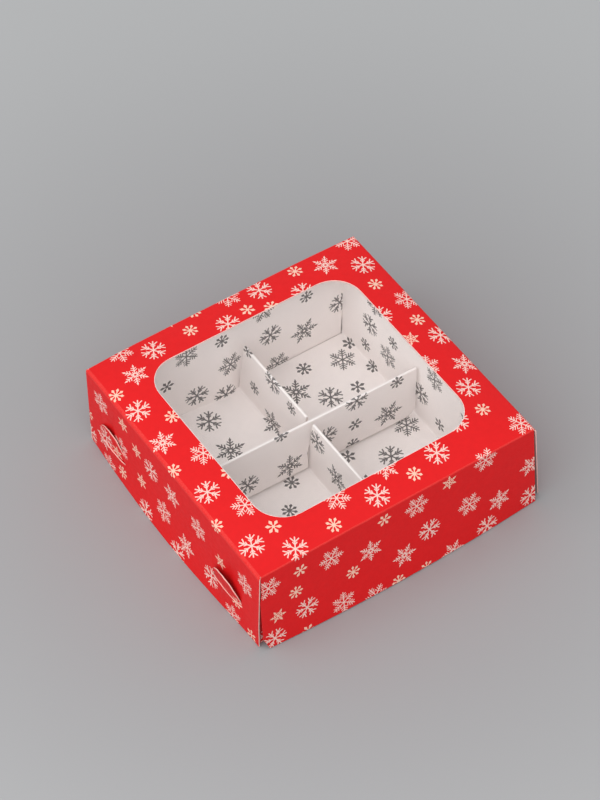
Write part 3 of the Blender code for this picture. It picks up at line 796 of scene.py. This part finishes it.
def skirt_lean(side, y, depth):
    """How far a skirt stands out: the right one leans, the left one bows at its foot and front edge."""
    share = depth / HEIGHT
    back_share = (y - LID_FRONT) / (LID_BACK - LID_FRONT)
    if side < 0:
        front_edge = FRONT_EDGE_BOW * 4 * share * (1 - share) + FRONT_EDGE_FOOT * share ** 2
        foot = LEFT_FOOT_BOW * np.sin(math.pi * np.clip(back_share, 0, 1)) * share ** 3
        return front_edge * np.exp((LID_FRONT - y) / FRONT_EDGE_RUN) + foot
    return (RIGHT_LEAN_FRONT + (RIGHT_LEAN_BACK - RIGHT_LEAN_FRONT) * back_share) * share


def skirt_surface(side):
    def surface(flat):
        depth = side * flat[:, 0] - LID_X
        y = flat[:, 1]
        out = skirt_lean(side, y, depth) + lip(y, depth)
        return np.stack((side * (LID_X + out), y, HEIGHT - depth), 1)
    return surface


def flap_surface(flat):
    x, depth = flat[:, 0], LID_FRONT - flat[:, 1]
    across = np.clip((x + WALL_X) / (2 * WALL_X), 0, 1)
    bow = FLAP_BOW * 4 * across * (1 - across) * (depth / HEIGHT) ** 2
    sine, cosine = math.sin(FLAP_SPRING), math.cos(FLAP_SPRING)
    return np.stack((x, LID_FRONT - depth * sine - bow * cosine, HEIGHT - depth * cosine + bow * sine), 1)


def back_wall_surface(flat):
    """The carton's back wall, then the crease to its base."""
    x, depth = flat[:, 0], flat[:, 1] - LID_BACK
    path = along_path([(LID_BACK, HEIGHT), (LID_BACK, 0), (LID_BACK - HEIGHT, 0)], [BASE_CREASE], depth)
    return np.stack((x, path[:, 0] + back_bow(x) * (path[:, 1] / HEIGHT) ** 2, path[:, 1]), 1)


def crease_surface(panel, axis, fold, reach):
    """A soft crease between the lid and a panel: both surfaces run on towards the fold line."""
    side = 1 if fold > 0 else -1

    def surface(flat):
        share = (((side * (flat[:, axis] - fold)) / reach + 1) / 2)[:, None]
        before, at_fold, after = flat.copy(), flat.copy(), flat.copy()
        before[:, axis] = fold - side * reach
        at_fold[:, axis] = fold
        after[:, axis] = fold + side * reach
        return ((1 - share) ** 2 * lid_surface(before) + 2 * share * (1 - share) * panel(at_fold)
                + share ** 2 * panel(after))
    return surface


# Surfaces of the tray's other walls and of the insert
def wall_surface(side):
    """A side wall of the tray and its crease to the base, from its top down, then inwards."""
    def surface(flat):
        depth = side * flat[:, 0] - WALL_X
        path = along_path([(WALL_X, HEIGHT), (WALL_X, 0), (WALL_X - HEIGHT, 0)], [BASE_CREASE], depth)
        return np.stack((side * path[:, 0], flat[:, 1], path[:, 1]), 1)
    return surface


def front_wall_surface(flat):
    depth = FRONT_WALL_Y - flat[:, 1]
    corners = [(FRONT_WALL_Y, HEIGHT), (FRONT_WALL_Y, 0), (FRONT_WALL_Y + HEIGHT, 0)]
    path = along_path(corners, [BASE_CREASE], depth)
    return np.stack((flat[:, 0], path[:, 0], path[:, 1]), 1)


def base_surface(flat):
    """The base's printed face looks down, so the blank is mirrored across X."""
    return np.stack((-flat[:, 0], flat[:, 1], np.zeros(len(flat))), 1)


INSERT_CORNERS = [(-WALL_X, LEDGE_TOP), (-CELL_X, LEDGE_TOP), (-CELL_X, FLOOR_TOP),
                  (-RIDGE_HALF, FLOOR_TOP), (-RIDGE_HALF, RIDGE_TOP), (RIDGE_HALF, RIDGE_TOP),
                  (RIDGE_HALF, FLOOR_TOP), (CELL_X, FLOOR_TOP), (CELL_X, LEDGE_TOP), (WALL_X, LEDGE_TOP)]
INSERT_REACHES = [LEDGE_CREASE, FLOOR_CREASE, FLOOR_CREASE, RIDGE_CREASE, RIDGE_CREASE, FLOOR_CREASE,
                  FLOOR_CREASE, LEDGE_CREASE]
INSERT_LENGTHS = np.linalg.norm(np.diff(np.array(INSERT_CORNERS), axis=0), axis=1)
INSERT_RUNS = np.concatenate(([0], np.cumsum(INSERT_LENGTHS)))


def insert_surface(flat):
    """The insert's sheet from its left ledge to its right one, over both walls, the floor and the ridge."""
    path = along_path(INSERT_CORNERS, INSERT_REACHES, flat[:, 0])
    return np.stack((path[:, 0], flat[:, 1], path[:, 1]), 1)


def end_surface(end):
    """The insert's front or back ledge and the inner wall that hangs from it, from front to back."""
    if end == "front":
        corners = [(FRONT_WALL_Y, LEDGE_TOP), (CELL_FRONT, LEDGE_TOP), (CELL_FRONT, WALL_FOOT)]
    else:
        corners = [(CELL_BACK, WALL_FOOT), (CELL_BACK, LEDGE_TOP), (LEDGE_BACK, LEDGE_TOP)]

    def surface(flat):
        path = along_path(corners, [LEDGE_CREASE], flat[:, 1])
        if end == "back":
            aside = flat[:, 0] - END_LEAN_X
            run = np.where(aside < 0, END_LEAN_LEFT_RUN, END_LEAN_RIGHT_RUN)
            path[:, 0] -= END_LEAN * np.exp(-(aside / run) ** 2) * np.clip(1 - path[:, 1] / LEDGE_TOP, 0, 1)
        return np.stack((flat[:, 0], path[:, 0], path[:, 1]), 1)
    return surface


def cross_surface(flat):
    """The cross piece from its front leaf's foot, over its folded top, to its back leaf's foot."""
    corners = [(-CROSS_HALF, CROSS_FOOT), (-CROSS_HALF, RIDGE_TOP),
               (CROSS_HALF, RIDGE_TOP), (CROSS_HALF, CROSS_FOOT)]
    path = along_path(corners, [RIDGE_CREASE, RIDGE_CREASE], flat[:, 1])
    share = (flat[:, 0] - CROSS_LEFT) / (CROSS_RIGHT - CROSS_LEFT)
    return np.stack((flat[:, 0], path[:, 0] - CROSS_SKEW * share, path[:, 1]), 1)


def tab_surface(side, place):
    """A lock tab: up from its wall, out through the slit behind the bowed lip, and up past the skirt."""
    slit_x = LID_X + skirt_lean(side, TABS[place], HEIGHT - TAB_Z) - BOARD - SLIDE_ROOM
    lean = TAB_LEAN[place]
    tip = (slit_x + TAB_RISE * math.sin(lean), TAB_Z + TAB_RISE * math.cos(lean))
    corners = [(WALL_X, TAB_Z - TAB_ROOT), (slit_x, TAB_Z), tip]

    def surface(flat):
        path = along_path(corners, [TAB_CREASE], -side * flat[:, 0])
        push = np.clip((path[:, 1] - corners[0][1]) / TAB_ROOT, 0, 1)
        out = path[:, 0] + push * LIP_OUT * slit_bow(flat[:, 1])
        return np.stack((side * out, flat[:, 1], path[:, 1]), 1)
    return surface


# Prints on the flat blanks
def carton_print():
    """The carton's outer print: what the photo shows, and the same scatter turned for what it hides."""
    front = laid(FRONT_PRINT, lambda x, z: (x, LID_FRONT - HEIGHT + z))
    left = laid(LEFT_PRINT, lambda y, z: (z - (LID_X + HEIGHT), y))
    shown = laid(LID_PRINT) + front + left
    hidden = [(kind, -x, -y, turn) for kind, x, y, turn in left + front]
    hidden = [place for place in hidden
              if min(math.dist(place[1:3], other[1:3]) for other in shown) > FLAKE_ROOM]
    return stamp([(kind, x + CARTON_SHIFT[0], y + CARTON_SHIFT[1], turn)
                  for kind, x, y, turn in shown + hidden])


def base_print():
    """The same scatter for the base: the lid's, turned, and more of it where the lid has its window."""
    return stamp(laid(LID_PRINT, lambda x, y: (-y, x)) + laid(MIDDLE_PRINT))


def insert_print():
    """The grey print of the insert's sheet, from its panels' own places to runs along the sheet."""
    runs = INSERT_RUNS

    def on_floor(x, y):
        return (runs[2] + x + CELL_X if x < 0 else runs[6] + x - RIDGE_HALF), y

    places = laid(FLOOR_PRINT, on_floor, INSERT_SHIFT)
    for panel_print, foot, way in ((LEFT_WALL_PRINT, runs[2], -1), (RIDGE_LEFT_PRINT, runs[3], 1),
                                   (RIDGE_RIGHT_PRINT, runs[6], -1), (RIGHT_WALL_PRINT, runs[7], 1)):
        places += laid(panel_print, lambda y, z: (foot + way * z - way * FLOOR_TOP, y), INSERT_SHIFT)
    return stamp(places, INSERT_INK)


def end_print(end):
    if end == "back":
        return stamp(laid(BACK_WALL_PRINT, lambda x, z: (x, z - WALL_FOOT), INSERT_SHIFT), INSERT_INK)
    top = CELL_FRONT - FRONT_WALL_Y + LEDGE_TOP
    return stamp(laid(FRONT_WALL_PRINT, lambda x, z: (x, top - z), INSERT_SHIFT), INSERT_INK)


def cross_print():
    whole = 2 * (RIDGE_TOP - CROSS_FOOT) + 2 * CROSS_HALF
    front = laid(CROSS_FRONT_PRINT, lambda x, z: (x, z - CROSS_FOOT), INSERT_SHIFT)
    back = laid(CROSS_BACK_PRINT, lambda x, z: (x, whole - (z - CROSS_FOOT)))
    return stamp(front + back, INSERT_INK)


# Pieces. Each has the finishes of its printed face, its back and its raw edge.
RED_SIDE = ["red", "inside", "pink_edge"]
# The flap's raw edges take the red print's colour instead of the pale cut edge's: painted shade, as they sit
# in the shadow of the skirt's edge
FLAP_SHADED_EDGE_SIDE = ["red", "inside", "red"]
# Creases that face the softbox: worn red that is also a painted highlight
WORN_AND_HIGHLIT_SIDE = ["worn_red", "inside", "pink_edge"]
WHITE_SIDE = ["white", "white", "raw"]
# The insert's floors: the white board with painted shade
FLOOR_SHADED_SIDE = ["floor", "floor", "raw"]
# The cross piece's back is dark grey-brown: the board's colour and painted shade in its gaps
CROSS_SIDE = ["white", "shade", "raw"]
FILM_SIDE = ["film", "film", "film"]


def carried(piece, body, node):
    """Puts a finished piece on its body, in the place of its node."""
    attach(piece, body)
    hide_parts(node)


def crease_between(name, surface, outline, lines):
    """A crease between two bodies. The right one, on the side away from the softbox, has plain red; the
    others have worn red, whose pale cracks also make a painted highlight.
    """
    sides = RED_SIDE if name == "right_crease" else WORN_AND_HIGHLIT_SIDE
    piece = card(name, surface, outline, sides, OUTER_INK, lines)
    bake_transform(piece)


def build_lid():
    """The lid panel, whose window has a pale cut edge that shows from above, and the film under it."""
    half_x = LID_X - SIDE_CREASE
    front, back = LID_FRONT + FRONT_CREASE, LID_BACK - BACK_CREASE
    rim = rounded(WINDOW_X + RIM_WIDTH, WINDOW_Y + RIM_WIDTH, WINDOW_RADIUS + RIM_WIDTH)
    panel = card("lid_panel_card", lid_surface, rectangle(-half_x, front, half_x, back), RED_SIDE,
                 [(np.array(rim), "raw")] + OUTER_INK,
                 grid_lines(0, -half_x, half_x) + grid_lines(1, front, back),
                 [rounded(WINDOW_X, WINDOW_Y, WINDOW_RADIUS)])
    carried(panel, "lid", "lid_panel")
    film_x, film_y = WINDOW_X + FILM_BORDER, WINDOW_Y + FILM_BORDER
    lines = grid_lines(0, -film_x, film_x) + grid_lines(1, -film_y, film_y)
    film = card("window_film_sheet", film_surface, rectangle(-film_x, -film_y, film_x, film_y), FILM_SIDE,
                (), lines, thickness=FILM)
    carried(film, "lid", "window_film")


def build_side(side, name):
    """A skirt with its two slits, its crease to the lid and its two lock tabs."""
    surface = skirt_surface(side)
    inner, outer = LID_X + SIDE_CREASE, LID_X + HEIGHT - SKIRT_FOOT
    slit_x, reach = LID_X + HEIGHT - TAB_Z - SLIT_RISE, TAB_HALF_WIDTH + SLIT_OVERRUN
    upper, lower = side * (slit_x - SLIT_HALF), side * (slit_x + SLIT_HALF)
    slits = [rectangle(upper, middle - reach, lower, middle + reach) for middle in TABS.values()]
    rows = grid_lines(1, SKIRT_FRONT, LID_BACK, GRID / 2) + grid_lines(0, side * inner, side * outer)
    rows += grid_lines(0, lower, side * outer, FINE_GRID)
    skirt = card(name + "_skirt_card", surface, rectangle(side * inner, SKIRT_FRONT, side * outer, LID_BACK),
                 RED_SIDE, OUTER_INK, rows, slits)
    carried(skirt, name + "_skirt", name + "_skirt")

    fold, clear = side * LID_X, side * (WALL_X + CREASE_CLEAR)
    inside, outside = fold - side * SIDE_CREASE, fold + side * SIDE_CREASE
    near, far = LID_FRONT + BOARD + CREASE_CLEAR, LID_BACK - BOARD - CREASE_CLEAR
    outline = [(inside, near), (clear, near), (clear, LID_FRONT), (outside, SKIRT_FRONT),
               (outside, LID_BACK), (clear, LID_BACK), (clear, far), (inside, far)]
    crease_between(name + "_crease", crease_surface(surface, 0, fold, SIDE_CREASE), outline,
                   bend_lines(0, fold, SIDE_CREASE) + grid_lines(1, LID_FRONT, LID_BACK))
    for place in TABS:
        build_tab(side, name + "_" + place, place)


def build_tab(side, name, place):
    """A tongue of the side wall, half round above its slit."""
    middle = TABS[place]
    near, far = middle - TAB_HALF_WIDTH, middle + TAB_HALF_WIDTH
    outline = [(0, near)] + half_round(-side * TAB_RISE, -side * TAB_ROOT, middle, -1) + [(0, far)]
    root = TAB_Z - TAB_ROOT
    ink = stamp(laid(TAB_PRINT[place], lambda y, z: (-side * (z - root), y)))
    lines = bend_lines(0, -side * TAB_ROOT, TAB_CREASE) + grid_lines(1, near, far, FINE_GRID)
    tab = card("lock_tab_" + name + "_card", tab_surface(side, place), outline, RED_SIDE, ink, lines)
    carried(tab, "tab_" + name, "lock_tab_" + name)


def build_front_flap():
    """The closing flap, whose left edge stands proud below its clear part, and its crease to the lid."""
    top, foot = LID_FRONT - FRONT_CREASE, LID_FRONT - HEIGHT + CELL_GAP
    left = -WALL_X - FLAP_LEFT_PROUD
    outline = [(-WALL_X, top), (-WALL_X, top - FLAP_CLEAR), (left, top - FLAP_PROUD_FROM),
               (left, foot + FLAP_CUT_HEIGHT), (left + FLAP_CUT_WIDTH, foot),
               (WALL_X + FLAP_RIGHT_FLARE, foot), (WALL_X, top)]
    lines = grid_lines(0, -WALL_X, WALL_X) + grid_lines(1, foot, top)
    flap = card("front_flap_card", flap_surface, outline, FLAP_SHADED_EDGE_SIDE, OUTER_INK, lines)
    carried(flap, "front_flap", "front_flap")
    half, inside = LID_X - SIDE_CREASE, LID_FRONT + FRONT_CREASE
    crease_between("front_crease", crease_surface(flap_surface, 1, LID_FRONT, FRONT_CREASE),
                   [(-half, inside), (-WALL_X, top), (WALL_X, top), (half, inside)],
                   bend_lines(1, LID_FRONT, FRONT_CREASE) + grid_lines(0, -WALL_X, WALL_X))


def build_carton_walls():
    """The tray's four outer walls with their creases to the base, and the base."""
    top, foot = LID_BACK + BACK_CREASE, LID_BACK + HEIGHT + BASE_CREASE
    back = card("back_wall_card", back_wall_surface, rectangle(-WALL_X, top, WALL_X, foot), RED_SIDE,
                OUTER_INK, bend_lines(1, LID_BACK + HEIGHT, BASE_CREASE))
    carried(back, "tray", "back_wall")
    half, inside = LID_X - SIDE_CREASE, LID_BACK - BACK_CREASE
    crease_between("hinge_crease", crease_surface(back_wall_surface, 1, LID_BACK, BACK_CREASE),
                   [(-half, inside), (half, inside), (WALL_X, top), (-WALL_X, top)],
                   bend_lines(1, LID_BACK, BACK_CREASE) + grid_lines(0, -WALL_X, WALL_X))
    fold = FRONT_WALL_Y - HEIGHT
    front = card("front_wall_card", front_wall_surface,
                 rectangle(-WALL_X, fold - BASE_CREASE, WALL_X, fold + WALL_TOP), RED_SIDE, OUTER_INK,
                 bend_lines(1, fold, BASE_CREASE))
    carried(front, "tray", "front_wall")
    for name, side in SIDES.items():
        build_side_wall(name, side)
    base = card("base_card", base_surface, rectangle(-WALL_X + BASE_CREASE, FRONT_WALL_Y + BASE_CREASE,
                                                     WALL_X - BASE_CREASE, LID_BACK - BASE_CREASE),
                RED_SIDE, base_print())
    carried(base, "tray", "base_panel")


def build_side_wall(name, side):
    """A side wall, with the half-round holes that its tongues leave."""
    fold = WALL_X + HEIGHT
    front, back = FRONT_WALL_Y + BOARD + CELL_GAP, LID_BACK - BOARD - CELL_GAP
    root = side * (fold - TAB_Z + BOARD)
    holes = [half_round(-side * TAB_RISE, root, middle, 1) for middle in TABS.values()]
    wall = card(name + "_wall_card", wall_surface(side),
                rectangle(side * (fold - WALL_TOP), front, side * (fold + BASE_CREASE), back),
                RED_SIDE, OUTER_INK, bend_lines(0, side * fold, BASE_CREASE), holes)
    carried(wall, "tray", name + "_wall")


def side_ledge(outer, inner):
    """A side ledge between its outer edge and its crease, with mitred ends."""
    return [(outer, FRONT_WALL_Y + MITRE), (inner, CELL_FRONT + MITRE),
            (inner, CELL_BACK - MITRE), (outer, LEDGE_BACK - MITRE)]


def build_insert():
    """The insert's long sheet, cut into its panels at the creases, and its two end walls."""
    ink = insert_print()
    runs = INSERT_RUNS
    lines = []
    for run, reach in zip(runs[1:-1], INSERT_REACHES):
        lines += bend_lines(0, run, reach)
    lines += grid_lines(1, -FLOOR_Y, FLOOR_Y)

    depth = RIDGE_TOP - NOTCH_FOOT
    left_foot, right_foot, flare = runs[4] - depth, runs[5] + depth, NOTCH_FLARE * depth
    notch = [(left_foot, NOTCH_SLIM), (runs[4] - flare, NOTCH_SLIM), (runs[4], NOTCH_FRONT),
             (runs[5], NOTCH_FRONT), (runs[5] + flare, NOTCH_SLIM), (right_foot, NOTCH_SLIM),
             (right_foot, NOTCH_BACK), (left_foot, NOTCH_BACK)]
    ridge = [(runs[3], -FLOOR_Y), (runs[6], -FLOOR_Y), (runs[6], RIDGE_BACK_FOOT), (runs[5], RIDGE_BACK_TOP),
             (runs[4], RIDGE_BACK_TOP), (runs[3], RIDGE_BACK_FOOT)]
    panels = {
        "ledge_left": side_ledge(runs[0], runs[1]),
        "inner_wall_left": rectangle(runs[1], -INNER_WALL_Y, runs[2], INNER_WALL_Y),
        "floor_left": rectangle(runs[2], -FLOOR_Y, runs[3], FLOOR_Y),
        "floor_right": rectangle(runs[6], -FLOOR_Y, runs[7], FLOOR_Y),
        "inner_wall_right": rectangle(runs[7], -INNER_WALL_Y, runs[8], INNER_WALL_Y),
        "ledge_right": side_ledge(runs[9], runs[8]),
        "ridge_divider": ridge,
    }
    for node, outline in panels.items():
        sides = FLOOR_SHADED_SIDE if node.startswith("floor") else WHITE_SIDE
        holes = [notch] if node == "ridge_divider" else []
        name = "ridge_card" if node == "ridge_divider" else node + "_card"
        carried(card(name, insert_surface, outline, sides, ink, lines, holes), "tray", node)
    build_end("front")
    build_end("back")


def build_end(end):
    """The front or back ledge and its inner wall, whose side edges leave a slit that widens downwards."""
    ink = end_print(end)
    surface = end_surface(end)
    half = CELL_X - SLIDE_ROOM
    if end == "front":
        outer, fold = 0, CELL_FRONT - FRONT_WALL_Y
        foot = fold + LEDGE_TOP - WALL_FOOT
    else:
        foot, fold = 0, LEDGE_TOP - WALL_FOOT
        outer = fold + LEDGE_BACK - CELL_BACK
    lines = bend_lines(1, fold, LEDGE_CREASE)
    outline = [(-WALL_X, outer), (WALL_X, outer), (CELL_X, fold), (-CELL_X, fold)]
    ledge = card("ledge_" + end + "_card", surface, outline, WHITE_SIDE, ink, lines)
    carried(ledge, "tray", "ledge_" + end)
    split = foot + (fold - foot) * SLIT_SHARE
    outline = [(-half, fold), (-half, split), (-half + CORNER_SLIT, foot), (half - CORNER_SLIT, foot),
               (half, split), (half, fold)]
    wall = card("inner_wall_" + end + "_card", surface, outline, WHITE_SIDE, ink,
                lines + grid_lines(0, -CELL_X, CELL_X, GRID / 2))
    carried(wall, "tray", "inner_wall_" + end)


def build_cross():
    """The folded strip with rounded lower corners and the slot that drops over the ridge."""
    rise = RIDGE_TOP - CROSS_FOOT
    whole = 2 * rise + 2 * CROSS_HALF
    outline = []
    left, right = CROSS_LEFT + CROSS_CORNER, CROSS_RIGHT + CROSS_REACH - CROSS_CORNER
    low, high = CROSS_RAISE + CROSS_CORNER, whole - CROSS_CORNER
    corners = ((right, low, -90), (right, high, 0), (left, high, 90), (left, low, 180))
    for centre_x, centre_run, start in corners:
        for step in range(ARC_STEPS + 1):
            angle = math.radians(start + 90 * step / ARC_STEPS)
            outline.append((centre_x + CROSS_CORNER * math.cos(angle),
                            centre_run + CROSS_CORNER * math.sin(angle)))
    slot = CROSS_SLOT_TOP - CROSS_FOOT
    slots = [[(across * CROSS_SLOT, up * slot) for across, up in CROSS_SLOT_SHAPE],
             rectangle(-CROSS_SLOT, whole - slot, CROSS_SLOT, whole)]
    lines = bend_lines(1, rise, RIDGE_CREASE) + bend_lines(1, rise + 2 * CROSS_HALF, RIDGE_CREASE)
    cross = card("cross_divider_card", cross_surface, outline, CROSS_SIDE, cross_print(), lines, slots)
    carried(cross, "tray", "cross_divider")


def dress_carried_nodes():
    """The glue flaps keep their frame shapes and take the board's finish."""
    for name, node in frame["nodes"].items():
        if name.startswith("corner_flap"):
            node.data.materials.clear()
            node.data.materials.append(FINISHES["white"])


# Studio
def build_floor():
    """A grey floor whose colour holds a painted shadow, darker round the box, and painted light, lighter
    towards the viewer.
    """
    material, tree = new_material("studio_floor")
    place = add(tree, "ShaderNodeTexCoord").outputs["Object"]
    distance = add(tree, "ShaderNodeVectorMath", {0: place}, operation="LENGTH").outputs["Value"]
    parts = add(tree, "ShaderNodeSeparateXYZ", {"Vector": place})
    # Painted shadow: the colour goes from dark near the box to plain grey further out. Painted light: it is
    # then scaled brighter towards the front.
    away = spread(tree, distance, 0, 1, FLOOR_PAINTED_SHADE_RUN, interpolation_type="SMOOTHSTEP")
    painted_light_gain = spread(tree, parts.outputs["Y"], FLOOR_PAINTED_LIGHT_FRONT, FLOOR_PAINTED_LIGHT_BACK, FLOOR_PAINTED_LIGHT_RUN)
    painted_shade_tone = add(tree, "ShaderNodeMix", {"Factor": away, "A": FLOOR_PAINTED_SHADE_NEAR, "B": FLOOR_UNSHADED_FAR},
               data_type="RGBA")
    lit = add(tree, "ShaderNodeVectorMath", {0: painted_shade_tone.outputs["Result"], "Scale": painted_light_gain}, operation="SCALE")
    wire(tree, tree.nodes["Principled BSDF"],
         {"Base Color": lit.outputs["Vector"], "Roughness": 0.9, "Specular IOR Level": 0.1})
    mesh = bpy.data.meshes.new("studio_floor")
    corners = rectangle(-FLOOR_REACH, -FLOOR_REACH, FLOOR_REACH, FLOOR_REACH)
    mesh.from_pydata([(x, y, 0) for x, y in corners], [], [(0, 1, 2, 3)])
    mesh.materials.append(material)
    floor = placed("studio_floor", mesh)


def build_light():
    """Soft light from all round, which the camera sees as a plain grey, and one large softbox."""
    world = bpy.data.worlds.new("studio")
    bpy.context.scene.world = world
    world.use_nodes = True
    tree = world.node_tree
    path = add(tree, "ShaderNodeLightPath").outputs
    seen = add(tree, "ShaderNodeMath", {0: path["Is Camera Ray"], 1: path["Is Transmission Ray"]},
               operation="MAXIMUM")
    colour = add(tree, "ShaderNodeMix", {"Factor": seen.outputs["Value"], "A": WORLD_LIGHT, "B": WORLD_SEEN},
                 data_type="RGBA")
    wire(tree, tree.nodes["Background"], {"Color": colour.outputs["Result"], "Strength": 1.0})

    lamp = bpy.data.lights.new("key_softbox", "AREA")
    lamp.shape = "DISK"
    lamp.size = KEY_SIZE
    lamp.energy = KEY_WATTS
    softbox = placed("key_softbox", lamp)
    softbox.location = KEY_PLACE
    softbox.rotation_euler = (-KEY_PLACE).to_track_quat("-Z", "Y").to_euler()


def build_camera():
    """The photo's view, fitted to the box's corners."""
    level = math.cos(CAMERA_RISE)
    back = Vector((math.sin(CAMERA_TURN) * level, -math.cos(CAMERA_TURN) * level, math.sin(CAMERA_RISE)))
    camera = placed("camera", bpy.data.cameras.new("camera"))
    camera.data.sensor_width = CAMERA_SENSOR
    camera.data.lens = CAMERA_LENS
    camera.data.clip_start, camera.data.clip_end = CAMERA_SEES
    camera.location = CAMERA_TARGET + back * CAMERA_DISTANCE
    camera.rotation_mode = "QUATERNION"
    camera.rotation_quaternion = (-back).to_track_quat("-Z", "Y")
    bpy.context.scene.camera = camera


bpy.context.scene.view_settings.view_transform = "Standard"
build_camera()
build_floor()
build_light()
FINISHES = make_finishes()
FLAKE_TREES = {kind: flake_tree(kind, design) for kind, design in FLAKES.items()}
OUTER_INK = carton_print()
build_lid()
for side_name, side_sign in SIDES.items():
    build_side(side_sign, side_name)
build_front_flap()
build_carton_walls()
build_insert()
build_cross()
dress_carried_nodes()
